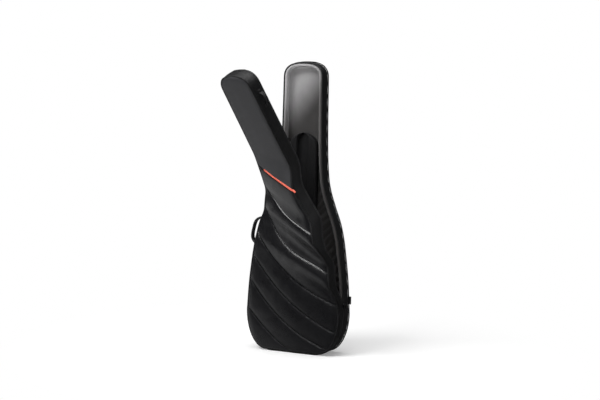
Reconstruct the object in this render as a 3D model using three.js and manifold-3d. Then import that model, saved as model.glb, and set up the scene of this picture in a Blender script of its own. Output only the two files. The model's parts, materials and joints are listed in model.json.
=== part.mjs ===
// Padded gig bag for an electric guitar or bass, standing on its rubber sole with its lid folded open.
// Millimetres. +Z is up, the lid faces -Y, the back is +Y, and X runs to the viewer's right.
// The origin is the middle of the rubber sole's underside.

import * as THREE from 'three';
import { mergeVertices } from 'three/addons/utils/BufferGeometryUtils.js';
import Module from 'manifold-3d';

// ---------- driving sizes ----------
const bagHeight = 1085; // sole to the top of the neck
const bodyWidth = 376; // widest, low on the body
const neckWidth = 160;
const bodyWideHeight = 150; // height at which the body is widest
const neckBaseHeight = 700; // height at which the flare has run out into the neck
const bottomCornerReach = 80; // how far the bottom corners round in from the sides
const neckCornerRadius = 48;
const neckCrown = 4; // rise of the neck's end above its corners
const shellDepth = 52; // zip plane to the outer face of the back
const lidDepth = 56; // zip plane to the outer face of the front

const clearance = 0.3; // between pieces that touch
const wallThickness = 12; // foam-filled side wall
const liningThickness = 3;
const backSkinThickness = 6;
const backFoamThickness = 9;
const lidPanelThickness = 14;
const bindingThickness = 3;
const bindingWidth = 5;
const zipHalfWidth = 5.5; // each half of the zip, across its teeth
const zipThickness = 4;
const zipInset = 1; // zip's outer face inside the wall's outer face
const lidZipLift = 0.6; // lid's half of the zip short of the zip plane, so that it swings clear

const soleThickness = 4;
const soleWidth = 210;
const soleInset = 6; // sole's edge inside the bag's front and back faces
const soleCornerRadius = 14;

const foldSlope = -0.5; // the lid folds along lines that fall to the right, as its quilting does
const foldGap = 0.4; // between two lid sections when the lid is shut

// Each fold of the open lid: where it crosses the middle line, and its turns in degrees.
// fold is about the fold line, twist about the line across it, spread about the lid's face.
const lidFolds = [
  { height: 330, fold: 1, twist: -10.7, spread: -0.2 },
  { height: 464, fold: 21.6, twist: -10.4, spread: -0.2 },
  { height: 560, fold: 15, twist: 3.5, spread: -0.2 },
  { height: 716, fold: 1, twist: 11.1, spread: -0.2 },
];

const rightSliderDrop = 52.3; // below where the lowest fold reaches the right side
const leftSliderHeight = 336;
const sliderLength = 17;
const sliderWidth = 10.6;
const sliderThickness = 7;
const sliderClearance = 0.5; // between the slider and the zip, so that it runs round the curve
const pullLength = 26;
const pullWidth = 9;
const pullThickness = 2.4;
const pullPinRadius = 1.2;
const pullArmWidth = 2;
const pullArmLength = 8;
const crownWidth = 3;
const crownLength = 11;
const crownThickness = 1.4;
const crownRoot = 1; // crown's foot sunk into the slider

const cradleWidth = 116;
const cradleBottom = 490;
const cradleTop = 822;
const cradleThickness = 23.4;
const cradleSlotWidth = 46;
const cradleSlotDepth = 16;

const bumperWidth = 210;
const bumperHeight = 24;
const bumperCornerRadius = 10;
const bumperDepthInLid = 38; // how far the bumper reaches forward of the shell's wall

const handleTop = 492;
const handleBottom = 382;
const handleReach = 52; // grip's outer face from the side wall
const handleThickness = 9;
const handleWidth = 26;
const handleBackInset = 24; // centre of the handle in front of the back's outer face
const handleAxisOut = 9.5; // swing axis from the side wall
const handleEndWidth = 10;
const handleEndThickness = 6;
const handleWideStart = 11; // where the grip takes its full width, out from its swing axis
const anchorLength = 26;
const anchorThickness = 2.5;
const bossLength = 8;

const pullLoopHeight = 975;
const pullLoopLength = 50;
const pullLoopReach = 22;
const pullLoopThickness = 3;
const pullLoopWidth = 14;

const accentLow = { x: 106.4, z: 621.8 };
const accentHigh = { x: -44.4, z: 698.2 };
const accentWidth = 8;
const accentThickness = 2.6;
const accentSection = 3; // which lid section carries the strip, counted from the lowest

const strapTopHeight = 640;
const strapTopSpread = 34; // strap's centre from the middle line at its top
const strapLowHeight = 330;
const strapLowSpread = 100;
const strapWidth = 62;
const strapThickness = 14;
const strapAnchorHeight = 30;
const webbingWidth = 25;
const webbingThickness = 2;
const tailLength = 20;
const adjusterWidth = 34;
const adjusterLength = 24;
const adjusterThickness = 5;
const adjusterBar = 3;
const adjusterPlay = 0.6; // lets the adjuster tilt past the end of its webbing
const lowerRingHeight = 200;
const lowerRingSpread = 158;
const ringWire = 3.2;
const ringLength = 20;
const ringCorner = 4;
const tabHeight = 30;
const tabOverhang = 9; // tab past the edge of the back

// ---------- materials ----------
const finish = (color, roughness, metalness = 0) =>
  new THREE.MeshStandardMaterial({ color, roughness, metalness });
const outerFabric = () => finish(0x1b1b1d, 0.5);
const wallFabric = () => finish(0x141416, 0.72);
const foam = () => finish(0x2a2a2c, 0.95);
const lining = () => finish(0x77777a, 0.95);
const blackFoam = () => finish(0x101011, 0.9);
const rubber = () => finish(0x0d0d0e, 0.8);
const webbing = () => finish(0x161617, 0.8);
const zipTeeth = () => finish(0x0c0c0d, 0.45);
const darkMetal = () => finish(0x2b2b2e, 0.35, 1);
const blackPlastic = () => finish(0x131314, 0.4);
const coral = () => finish(0xe05f4b, 0.6);

// ---------- solids ----------
const wasm = await Module();
wasm.setup();

function toSolid(geometry) {
  const bare = geometry.clone();
  bare.deleteAttribute('normal');
  bare.deleteAttribute('uv');
  const merged = mergeVertices(bare, 1e-4);
  const mesh = new wasm.Mesh({
    numProp: 3,
    vertProperties: merged.attributes.position.array,
    triVerts: merged.index.array,
  });
  return new wasm.Manifold(mesh);
}

function toGeometry(solid) {
  const mesh = solid.getMesh();
  const geometry = new THREE.BufferGeometry();
  geometry.setAttribute('position', new THREE.BufferAttribute(mesh.vertProperties, 3));
  geometry.setIndex(new THREE.BufferAttribute(mesh.triVerts, 1));
  geometry.computeVertexNormals();
  return geometry;
}

// A shape drawn in X and Z, given thickness from y = front to y = back.
function slab(shape, front, back) {
  const geometry = new THREE.ExtrudeGeometry(shape, {
    depth: back - front, bevelEnabled: false, curveSegments: 6,
  });
  geometry.rotateX(Math.PI / 2);
  geometry.translate(0, back, 0);
  return toSolid(geometry);
}

// A plain box centred on the origin.
function block(width, depth, height) {
  return toSolid(new THREE.BoxGeometry(width, depth, height));
}

const bag = new THREE.Group();
const sides = [['right', 1], ['left', -1]];

function addPiece(parent, name, solid, material) {
  const geometry = solid.isBufferGeometry ? solid : toGeometry(solid);
  const mesh = new THREE.Mesh(geometry, material);
  mesh.name = name;
  parent.add(mesh);
  return mesh;
}

// ---------- the bag's outline, seen from the front ----------
const halfBody = bodyWidth / 2;
const halfNeck = neckWidth / 2;
const shellBottom = soleThickness + clearance;
const neckShoulder = bagHeight - neckCrown - neckCornerRadius;

// The flare from the body to the neck: [share of the way up from widest to neck, share of the extra width].
const flareShares = [
  [0, 1],
  [0.18, 0.945],
  [0.31, 0.875],
  [0.42, 0.8],
  [0.505, 0.73],
  [0.61, 0.6],
  [0.72, 0.39],
  [0.83, 0.2],
  [0.94, 0.1],
  [1.16, 0.035],
];
const flareReach = neckBaseHeight - bodyWideHeight;
const flarePoints = flareShares.map(([up, wide]) => new THREE.Vector2(
  halfNeck + (halfBody - halfNeck) * wide,
  bodyWideHeight + flareReach * up,
));
flarePoints.push(new THREE.Vector2(halfNeck, neckShoulder));

// Right half of the outline, from the bottom's middle to the top's middle.
function rightHalf() {
  const points = [new THREE.Vector2(0, shellBottom)];
  const cornerCentreX = halfBody - bottomCornerReach;
  const cornerRise = bodyWideHeight - shellBottom;
  const corner = new THREE.EllipseCurve(
    cornerCentreX, bodyWideHeight, bottomCornerReach, cornerRise, -Math.PI / 2, 0,
  );
  points.push(...corner.getPoints(9));
  points.push(...new THREE.SplineCurve(flarePoints).getPoints(26).slice(1));
  const shoulder = new THREE.EllipseCurve(
    halfNeck - neckCornerRadius, neckShoulder, neckCornerRadius, neckCornerRadius, 0, Math.PI / 2,
  );
  points.push(...shoulder.getPoints(6).slice(1));
  points.push(new THREE.Vector2(0, bagHeight));
  return points;
}

const outerRight = rightHalf();

// The outline moved inwards by inset, as one closed ring of points.
function outline(inset) {
  const last = outerRight.length - 1;
  const right = outerRight.map((point, i) => {
    const before = outerRight[Math.max(i - 1, 0)];
    const after = outerRight[Math.min(i + 1, last)];
    const along = after.clone().sub(before).normalize();
    if (i === 0 || i === last) along.set(i === 0 ? 1 : -1, 0);
    return new THREE.Vector2(point.x - along.y * inset, point.y + along.x * inset);
  });
  const left = right.slice(1, last).reverse().map((point) => new THREE.Vector2(-point.x, point.y));
  return [...right, ...left];
}

function outlineShape(inset) {
  return new THREE.Shape(outline(inset));
}

// A band that runs round the outline, between two insets.
function bandShape(outerInset, innerInset) {
  const shape = outlineShape(outerInset);
  shape.holes.push(new THREE.Path(outline(innerInset)));
  return shape;
}

// Half the bag's width at a height, from the outer outline.
function halfWidthAt(height) {
  const above = outerRight.findIndex((point) => point.y > height && point.x > 0);
  const high = outerRight[above];
  const low = outerRight[above - 1];
  const share = (height - low.y) / (high.y - low.y);
  return low.x + (high.x - low.x) * share;
}

// Where a fold of the lid meets the bag's side, measured along X.
function foldReach(foldHeight, sign) {
  let place = 0;
  for (let pass = 0; pass < 40; pass += 1) {
    place = sign * halfWidthAt(foldHeight + foldSlope * place);
  }
  return place;
}

// The right slider stands just below the place where the lid starts to open.
const rightSliderHeight =
  lidFolds[0].height + foldSlope * foldReach(lidFolds[0].height, 1) - rightSliderDrop;

// Lean of the side at a height: the turn about Y that lines an upright piece up with the right side.
function sideLean(height) {
  const step = 20;
  return Math.atan2(halfWidthAt(height + step) - halfWidthAt(height - step), 2 * step);
}

// A group on one side of the bag: local +X is outwards and local +Z runs up along the side.
function sidePlace(parent, sign, height, outwards, depthPlace) {
  const place = new THREE.Group();
  place.position.set(sign * (halfWidthAt(height) + outwards), depthPlace, height);
  place.rotation.set(0, sign * sideLean(height), sign > 0 ? 0 : Math.PI);
  parent.add(place);
  return place;
}

// ---------- layers from front to back ----------
const wallFront = zipHalfWidth + clearance;
const lidPanelBack = -lidDepth + lidPanelThickness;
const lidLiningBack = lidPanelBack + liningThickness;
const backSkinFront = shellDepth - backSkinThickness;
const foamBack = backSkinFront - clearance;
const foamFront = foamBack - backFoamThickness;
const liningBack = foamFront - clearance;
const liningFront = liningBack - liningThickness;
const insideWall = wallThickness + clearance;

// ---------- cutting ----------
const keepAbove = (solid, height) => solid.trimByPlane([0, 0, 1], height);
const keepBelow = (solid, height) => solid.trimByPlane([0, 0, -1], -height);
const keepRight = (solid) => solid.trimByPlane([1, 0, 0], 0);
const keepLeft = (solid) => solid.trimByPlane([-1, 0, 0], 0);

const foldLength = Math.hypot(1, foldSlope);
const acrossFold = [-foldSlope / foldLength, 0, 1 / foldLength];

// The part of a lid piece between fold number low and fold number high, with half a fold gap at each.
function lidSection(solid, low, high) {
  let cut = solid;
  if (low >= 0) {
    const offset = lidFolds[low].height / foldLength + foldGap / 2;
    cut = cut.trimByPlane(acrossFold, offset);
  }
  if (high < lidFolds.length) {
    const offset = lidFolds[high].height / foldLength - foldGap / 2;
    cut = cut.trimByPlane(acrossFold.map((value) => -value), -offset);
  }
  return cut;
}

// ---------- back shell ----------
function addShell() {
  const splitLow = bodyWideHeight - 40;
  const splitHigh = neckShoulder - 60;
  const half = clearance / 2;
  const wall = slab(bandShape(0, wallThickness), wallFront, backSkinFront - clearance);

  addPiece(bag, 'back_panel', slab(outlineShape(0), backSkinFront, shellDepth), outerFabric());
  addPiece(bag, 'back_foam_board', slab(outlineShape(insideWall), foamFront, foamBack), foam());
  addPiece(bag, 'back_lining', slab(outlineShape(insideWall), liningFront, liningBack), lining());

  addPiece(bag, 'shell_wall_bottom', keepBelow(wall, splitLow - half), wallFabric());
  addPiece(bag, 'shell_wall_neck', keepAbove(wall, splitHigh + half), wallFabric());
  const middle = keepBelow(keepAbove(wall, splitLow + half), splitHigh - half);
  addPiece(bag, 'shell_wall_right', keepRight(middle), wallFabric());
  addPiece(bag, 'shell_wall_left', keepLeft(middle), wallFabric());

  const wallLining = bandShape(insideWall, insideWall + liningThickness);
  addPiece(bag, 'wall_lining', slab(wallLining, wallFront, liningFront - clearance), lining());

  const binding = bandShape(-clearance - bindingThickness, -clearance);
  addPiece(bag, 'back_binding', slab(binding, shellDepth - bindingWidth, shellDepth), webbing());
}

// ---------- rubber sole ----------
function addSole() {
  const front = -lidDepth + soleInset;
  const back = shellDepth - soleInset;
  const shape = roundedBox(soleWidth, back - front, soleCornerRadius);
  const geometry = new THREE.ExtrudeGeometry(shape, {
    depth: soleThickness, bevelEnabled: false, curveSegments: 5,
  });
  geometry.translate(0, (front + back) / 2, 0);
  addPiece(bag, 'rubber_sole', geometry, rubber());
}

// Rounded rectangle centred on the origin.
function roundedBox(width, height, radius) {
  const shape = new THREE.Shape();
  const right = width / 2 - radius;
  const top = height / 2 - radius;
  shape.absarc(right, top, radius, 0, Math.PI / 2);
  shape.absarc(-right, top, radius, Math.PI / 2, Math.PI);
  shape.absarc(-right, -top, radius, Math.PI, Math.PI * 1.5);
  shape.absarc(right, -top, radius, Math.PI * 1.5, Math.PI * 2);
  return shape;
}

// ---------- padding that holds the guitar ----------
function addCradle() {
  const half = cradleWidth / 2;
  const back = liningFront - clearance;
  const front = back - cradleThickness;
  const shape = new THREE.Shape();
  shape.moveTo(half, cradleBottom);
  shape.absarc(0, cradleTop - half, half, 0, Math.PI);
  shape.lineTo(-half, cradleBottom);
  shape.closePath();
  const slotHeight = cradleTop - cradleBottom + 20;
  const slot = new THREE.BoxGeometry(cradleSlotWidth, cradleSlotDepth * 2, slotHeight);
  slot.translate(0, front, (cradleTop + cradleBottom) / 2);
  addPiece(bag, 'neck_cradle', slab(shape, front, back).subtract(toSolid(slot)), blackFoam());
}

function addBumper() {
  const bottom = shellBottom + insideWall + liningThickness + clearance;
  const back = liningFront - clearance;
  const front = wallFront - bumperDepthInLid;
  const shape = roundedBox(bumperWidth, bumperHeight, bumperCornerRadius);
  const solid = slab(shape, front, back).translate([0, 0, bottom + bumperHeight / 2]);
  addPiece(bag, 'end_bumper', solid, foam());
}
// ---------- zip ----------
function zipBand(front, back) {
  return slab(bandShape(zipInset, zipInset + zipThickness), front, back);
}

function addZips() {
  const half = clearance / 2;
  const closed = zipBand(-zipHalfWidth, zipHalfWidth);
  const below = keepBelow(keepRight(closed), rightSliderHeight - half)
    .add(keepBelow(keepLeft(closed), leftSliderHeight - half));
  addPiece(bag, 'closed_zip', below, zipTeeth());
  const open = zipBand(half, zipHalfWidth);
  const above = keepAbove(keepRight(open), rightSliderHeight + half)
    .add(keepAbove(keepLeft(open), leftSliderHeight + half));
  addPiece(bag, 'shell_zip_half', above, zipTeeth());
}

// ---------- lid ----------
// The lid's sections as nested groups: each one carries all that is above its fold.
function lidGroups() {
  const groups = [bag];
  for (const { height, fold, twist, spread } of lidFolds) {
    const pivotX = foldReach(height, -1);
    const pivot = new THREE.Vector3(pivotX, -lidDepth, height + foldSlope * pivotX);
    const along = new THREE.Vector3(1, 0, foldSlope).normalize();
    const across = new THREE.Vector3(-foldSlope, 0, 1).normalize();
    const turns = along.multiplyScalar(THREE.MathUtils.degToRad(fold))
      .add(across.multiplyScalar(THREE.MathUtils.degToRad(twist)))
      .add(new THREE.Vector3(0, THREE.MathUtils.degToRad(spread), 0));
    const hinge = new THREE.Group();
    hinge.position.copy(pivot);
    hinge.quaternion.setFromAxisAngle(turns.clone().normalize(), turns.length());
    const section = new THREE.Group();
    section.position.copy(pivot).negate();
    hinge.add(section);
    groups.at(-1).add(hinge);
    groups.push(section);
  }
  return groups;
}

function addLid(groups) {
  const panel = slab(outlineShape(0), -lidDepth, lidPanelBack);
  const liner = slab(outlineShape(insideWall), lidPanelBack + clearance, lidLiningBack);
  const wall = slab(bandShape(0, wallThickness), lidPanelBack + clearance, -wallFront);
  const zip = zipBand(-zipHalfWidth, -lidZipLift);
  const last = groups.length - 1;
  const places = ['lower', 'waist', 'middle', 'upper', 'neck'];

  groups.forEach((group, i) => {
    const cut = (solid) => lidSection(solid, i - 1, i);
    const place = places[i];
    addPiece(group, `lid_panel_${place}`, cut(panel), outerFabric());
    addPiece(group, `lid_lining_${place}`, cut(liner), lining());
    if (i === 0 || i === last) {
      addPiece(group, `lid_wall_${place}`, cut(wall), wallFabric());
    } else {
      addPiece(group, `lid_wall_${place}_right`, keepRight(cut(wall)), wallFabric());
      addPiece(group, `lid_wall_${place}_left`, keepLeft(cut(wall)), wallFabric());
    }
    if (i === last) {
      addPiece(group, `lid_zip_${place}`, cut(zip), zipTeeth());
    } else if (i > 0) {
      addPiece(group, `lid_zip_${place}_right`, keepRight(cut(zip)), zipTeeth());
      addPiece(group, `lid_zip_${place}_left`, keepLeft(cut(zip)), zipTeeth());
    }
  });
}

// The raised coral strip on the front, along the quilting at the base of the neck.
function addAccent(group) {
  const low = new THREE.Vector2(accentLow.x, accentLow.z);
  const high = new THREE.Vector2(accentHigh.x, accentHigh.z);
  const run = high.clone().sub(low);
  const shape = new THREE.Shape();
  const straight = run.length() / 2;
  const radius = accentWidth / 2;
  shape.absarc(straight, 0, radius, -Math.PI / 2, Math.PI / 2);
  shape.absarc(-straight, 0, radius, Math.PI / 2, Math.PI * 1.5);
  const front = -lidDepth - clearance - accentThickness;
  const middle = low.clone().add(high).multiplyScalar(0.5);
  const solid = slab(shape, front, -lidDepth - clearance)
    .rotate([0, -THREE.MathUtils.radToDeg(run.angle()), 0])
    .translate([middle.x, 0, middle.y]);
  addPiece(group, 'accent_strip', solid, coral());
}

// Webbing loops on both sides of the lid's neck, to pull the lid open and shut.
function addPullLoops(group) {
  const halfLength = pullLoopLength / 2;
  const outer = new THREE.Shape();
  outer.absellipse(0, 0, pullLoopReach, halfLength, -Math.PI / 2, Math.PI / 2);
  const inner = new THREE.Path();
  const hole = pullLoopReach - pullLoopThickness;
  inner.absellipse(pullLoopThickness, 0, hole - pullLoopThickness, halfLength - pullLoopThickness,
    -Math.PI / 2, Math.PI / 2);
  outer.holes.push(inner);
  const depth = (lidPanelBack - wallFront) / 2;
  for (const [side, sign] of sides) {
    const place = sidePlace(group, sign, pullLoopHeight, clearance, depth);
    const loop = slab(outer, -pullLoopWidth / 2, pullLoopWidth / 2);
    addPiece(place, `lid_pull_loop_${side}`, loop, webbing());
  }
}

// ---------- zip sliders and their pulls ----------
// A slider stands on the zip at one side. Its outward direction is local +X, its run is local Z.
function addSlider(side, sign, height) {
  const place = sidePlace(bag, sign, height, sliderClearance - zipInset, 0);

  const body = new THREE.ExtrudeGeometry(
    roundedBox(sliderWidth, sliderLength, sliderWidth / 3),
    { depth: sliderThickness, bevelEnabled: false, curveSegments: 4 },
  );
  body.rotateX(Math.PI / 2);
  body.rotateZ(Math.PI / 2);
  const pinOut = sliderThickness + pullThickness / 2 + clearance;
  const crownReach = pinOut + pullPinRadius + clearance + crownThickness;
  const crown = new THREE.Shape();
  crown.moveTo(sliderThickness - crownRoot, -crownLength / 2);
  crown.lineTo(crownReach - crownThickness, -crownLength / 2);
  crown.lineTo(crownReach, -crownLength / 2 + crownThickness);
  crown.lineTo(crownReach, crownLength / 2 - crownThickness);
  crown.lineTo(crownReach - crownThickness, crownLength / 2);
  crown.lineTo(sliderThickness - crownRoot, crownLength / 2);
  crown.closePath();
  const eye = new THREE.Path();
  const eyeHalf = crownLength / 2 - crownThickness;
  eye.moveTo(sliderThickness, -eyeHalf);
  eye.lineTo(sliderThickness, eyeHalf);
  eye.lineTo(crownReach - crownThickness, eyeHalf);
  eye.lineTo(crownReach - crownThickness, -eyeHalf);
  eye.closePath();
  crown.holes.push(eye);
  const crownSolid = slab(crown, -crownWidth / 2, crownWidth / 2);
  addPiece(place, `zip_slider_${side}`, toSolid(body).add(crownSolid), darkMetal());

  const armPlace = crownWidth / 2 + clearance + pullArmWidth / 2;
  const pin = new THREE.CylinderGeometry(pullPinRadius, pullPinRadius, pullWidth, 10);
  pin.translate(pinOut, 0, 0);
  let pull = toSolid(pin);
  for (const end of [1, -1]) {
    const arm = new THREE.BoxGeometry(pullThickness, pullArmWidth, pullArmLength);
    arm.translate(pinOut, end * armPlace, -pullArmLength / 2);
    pull = pull.add(toSolid(arm));
  }
  const tab = roundedBox(pullThickness, pullWidth, pullThickness / 3);
  const tabGeometry = new THREE.ExtrudeGeometry(tab, {
    depth: pullLength - pullArmLength, bevelEnabled: false, curveSegments: 2,
  });
  tabGeometry.translate(pinOut, 0, -pullLength);
  pull = pull.add(toSolid(tabGeometry));
  addPiece(place, `zip_pull_${side}`, pull, rubber());
}

// ---------- side handle ----------
function addHandle() {
  const topHalf = halfWidthAt(handleTop);
  const bottomHalf = halfWidthAt(handleBottom);
  const span = Math.hypot(topHalf - bottomHalf, handleTop - handleBottom);
  const lean = Math.atan2(bottomHalf - topHalf, handleTop - handleBottom);
  const place = new THREE.Group();
  place.position.set(
    -(topHalf + bottomHalf) / 2, shellDepth - handleBackInset, (handleTop + handleBottom) / 2,
  );
  place.rotation.set(0, lean, Math.PI);
  bag.add(place);

  const halfSpan = span / 2;
  // The side bulges past the straight line between the anchors, so they stand off by that much.
  const bulge = [handleTop - anchorLength / 2, handleBottom + anchorLength / 2].map((height) => {
    const share = (height - handleBottom) / (handleTop - handleBottom);
    return halfWidthAt(height) - bottomHalf - (topHalf - bottomHalf) * share;
  });
  const patchBack = Math.max(...bulge) + clearance;
  for (const [name, end] of [['upper', 1], ['lower', -1]]) {
    const patch = new THREE.BoxGeometry(anchorThickness, handleWidth, anchorLength);
    patch.translate(patchBack + anchorThickness / 2, 0, end * halfSpan);
    const boss = new THREE.BoxGeometry(handleAxisOut, handleEndWidth, bossLength);
    const bossPlace = end * (halfSpan + bossLength / 2 + clearance / 2);
    boss.translate(patchBack + anchorThickness / 2 + handleAxisOut / 2, 0, bossPlace);
    addPiece(place, `handle_anchor_${name}`, toSolid(patch).add(toSolid(boss)), webbing());
  }

  const reach = handleReach;
  const inside = reach - handleThickness;
  const axis = patchBack + handleAxisOut;
  const endHalf = handleEndThickness / 2;
  const top = halfSpan - clearance / 2;
  const arch = new THREE.Shape();
  arch.moveTo(axis - endHalf, top);
  arch.lineTo(axis + endHalf, top);
  arch.bezierCurveTo(reach, top, reach, halfSpan / 2, reach, 0);
  arch.bezierCurveTo(reach, -halfSpan / 2, reach, -top, axis + endHalf, -top);
  arch.lineTo(axis - endHalf, -top);
  const innerTop = top - handleThickness;
  arch.bezierCurveTo(inside, -innerTop, inside, -halfSpan / 2, inside, 0);
  arch.bezierCurveTo(inside, halfSpan / 2, inside, innerTop, axis - endHalf, top);
  const full = slab(arch, -handleWidth / 2, handleWidth / 2);
  const grip = full.trimByPlane([1, 0, 0], axis + handleWideStart);
  const slim = slab(arch, -handleEndWidth / 2, handleEndWidth / 2);
  addPiece(place, 'side_handle', slim.add(grip), webbing());
}

// ---------- shoulder straps on the back ----------
// A group whose -Z runs from one point on the back to another.
function backRun(start, end) {
  const group = new THREE.Group();
  group.position.set(start.x, shellDepth + clearance, start.y);
  group.rotation.y = Math.atan2(start.x - end.x, start.y - end.y);
  bag.add(group);
  return group;
}

// A flat piece on the back: a shape in X and Z whose top edge is at z = 0 of its group.
function backPiece(group, name, width, length, thickness, radius, material) {
  const shape = roundedBox(width, length, radius);
  const solid = slab(shape, 0, thickness).translate([0, 0, -length / 2]);
  addPiece(group, name, solid, material);
}

function addStraps() {
  const anchor = roundedBox(strapTopSpread * 2 + strapWidth, strapAnchorHeight, 8);
  const anchorPlace = strapTopHeight + clearance + strapAnchorHeight / 2;
  const anchorSolid = slab(anchor, shellDepth + clearance, shellDepth + clearance + anchorThickness)
    .translate([0, 0, anchorPlace]);
  addPiece(bag, 'strap_top_anchor', anchorSolid, webbing());

  for (const [side, sign] of sides) {
    const top = new THREE.Vector2(sign * strapTopSpread, strapTopHeight);
    const low = new THREE.Vector2(sign * strapLowSpread, strapLowHeight);
    const padRun = backRun(top, low);
    const padLength = top.distanceTo(low);
    const pad = slab(roundedBox(strapWidth, padLength - 8, 20), 0, strapThickness)
      .translate([0, 0, -padLength / 2 - 4]);
    const tail = slab(roundedBox(webbingWidth, tailLength, 1), 0, webbingThickness)
      .translate([0, 0, -padLength - tailLength / 2 + 4]);
    addPiece(padRun, `shoulder_strap_${side}`, pad.add(tail), outerFabric());

    const adjusterTop = padLength + tailLength - 4 + clearance;
    const adjusterPlace = -adjusterTop - adjusterLength / 2;
    const slotHeight = (adjusterLength - 3 * adjusterBar) / 2;
    let adjuster = slab(roundedBox(adjusterWidth, adjusterLength, 3), 0, adjusterThickness);
    for (const end of [1, -1]) {
      const slot = block(webbingWidth + 1, 3 * adjusterThickness, slotHeight);
      adjuster = adjuster.subtract(slot.translate([0, 0, end * (slotHeight + adjusterBar) / 2]));
    }
    adjuster = adjuster.translate([0, 0, adjusterPlace]);
    addPiece(padRun, `strap_adjuster_${side}`, adjuster, blackPlastic());

    const along = low.clone().sub(top).normalize();
    const adjusterEnd = top.clone().addScaledVector(along, adjusterTop + adjusterLength);
    const ringCentre = new THREE.Vector2(sign * lowerRingSpread, lowerRingHeight);
    const webAlong = ringCentre.clone().sub(adjusterEnd).normalize();
    const turn = Math.acos(along.dot(webAlong));
    const turnRoom = (adjusterPlay + webbingWidth / 2 * Math.sin(turn)) / Math.cos(turn);
    const webStart = adjusterEnd.addScaledVector(webAlong, turnRoom);
    const webRun = backRun(webStart, ringCentre);
    const ringStart = webStart.distanceTo(ringCentre) - ringLength / 2;
    backPiece(webRun, `strap_webbing_${side}`, webbingWidth, ringStart - clearance,
      webbingThickness, 1, webbing());
    const ringWidth = webbingWidth + 2 * ringWire;
    const ring = slab(roundedBox(ringWidth, ringLength, ringCorner), 0, ringWire)
      .subtract(block(webbingWidth, 3 * ringWire, ringLength - 2 * ringWire))
      .translate([0, 0, -ringStart - ringLength / 2]);
    addPiece(webRun, `lower_ring_${side}`, ring, darkMetal());

    const tabEnd = halfWidthAt(lowerRingHeight) + tabOverhang;
    const ringReach = ringCorner - webAlong.y * (ringWidth / 2 - ringCorner)
      + Math.abs(webAlong.x) * (ringLength / 2 - ringCorner);
    const tabStart = lowerRingSpread + ringReach + clearance;
    const tab = slab(roundedBox(tabEnd - tabStart, tabHeight, 2), shellDepth + clearance,
      shellDepth + clearance + anchorThickness)
      .translate([sign * (tabEnd + tabStart) / 2, 0, lowerRingHeight]);
    addPiece(bag, `lower_ring_tab_${side}`, tab, webbing());
  }
}

// ---------- assembly ----------
addSole();
addShell();
addCradle();
addBumper();
addZips();
const lid = lidGroups();
addLid(lid);
addAccent(lid[accentSection]);
addPullLoops(lid.at(-1));
addSlider('right', 1, rightSliderHeight);
addSlider('left', -1, leftSliderHeight);
addHandle();
addStraps();

export default bag;
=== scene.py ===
import math

import bpy
import numpy as np
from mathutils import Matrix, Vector
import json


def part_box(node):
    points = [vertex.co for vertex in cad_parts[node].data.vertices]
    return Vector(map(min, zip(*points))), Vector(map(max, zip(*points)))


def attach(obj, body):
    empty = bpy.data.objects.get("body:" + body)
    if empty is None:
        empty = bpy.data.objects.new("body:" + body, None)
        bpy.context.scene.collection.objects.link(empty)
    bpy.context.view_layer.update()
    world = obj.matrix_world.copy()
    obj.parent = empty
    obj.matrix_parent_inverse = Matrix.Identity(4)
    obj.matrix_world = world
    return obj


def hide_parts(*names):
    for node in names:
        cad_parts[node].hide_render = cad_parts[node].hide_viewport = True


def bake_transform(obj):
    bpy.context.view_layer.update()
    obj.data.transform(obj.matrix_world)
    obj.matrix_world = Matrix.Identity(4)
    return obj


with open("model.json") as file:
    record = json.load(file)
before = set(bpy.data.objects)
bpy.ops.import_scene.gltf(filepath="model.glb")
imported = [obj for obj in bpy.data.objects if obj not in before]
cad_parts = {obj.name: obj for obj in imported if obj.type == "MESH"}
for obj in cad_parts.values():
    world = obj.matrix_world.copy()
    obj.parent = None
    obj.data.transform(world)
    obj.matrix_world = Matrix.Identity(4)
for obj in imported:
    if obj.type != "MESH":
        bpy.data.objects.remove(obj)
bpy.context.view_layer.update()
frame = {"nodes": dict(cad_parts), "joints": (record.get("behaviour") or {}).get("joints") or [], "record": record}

# ---------------------------------------------------------------------------
# View of the bag: a long lens set low in front of the bag's right side.
# It leans a little, as a hand-held camera does.
# ---------------------------------------------------------------------------
view_azimuth, view_height, view_roll = map(math.radians, (24.0, 5.4, 1.3))
look_at = Vector((-0.0005, 0.0, 0.571))
towards_eye = Vector((math.sin(view_azimuth) * math.cos(view_height),
                      -math.cos(view_azimuth) * math.cos(view_height),
                      math.sin(view_height)))
level_right = Vector((math.cos(view_azimuth), math.sin(view_azimuth), 0.0))
level_up = towards_eye.cross(level_right)
eye_right = level_right * math.cos(view_roll) + level_up * math.sin(view_roll)
eye_up = level_up * math.cos(view_roll) - level_right * math.sin(view_roll)
eye = bpy.data.objects.new("eye", bpy.data.cameras.new("eye"))
bpy.context.scene.collection.objects.link(eye)
eye.data.sensor_width = 36.0
eye.data.lens = 80.16
eye_distance = 5.0
turn = eye.matrix_world.to_3x3()
turn.col[0], turn.col[1], turn.col[2] = eye_right, eye_up, towards_eye
eye.matrix_world = turn.to_4x4()
eye.location = look_at + towards_eye * eye_distance
bpy.context.scene.camera = eye

# ---------------------------------------------------------------------------
# Rubber sole: one moulded black rubber plate that the bag stands on, with a
# fine pebbled face. It is glued and stitched under the bottom wall.
# ---------------------------------------------------------------------------


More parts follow.
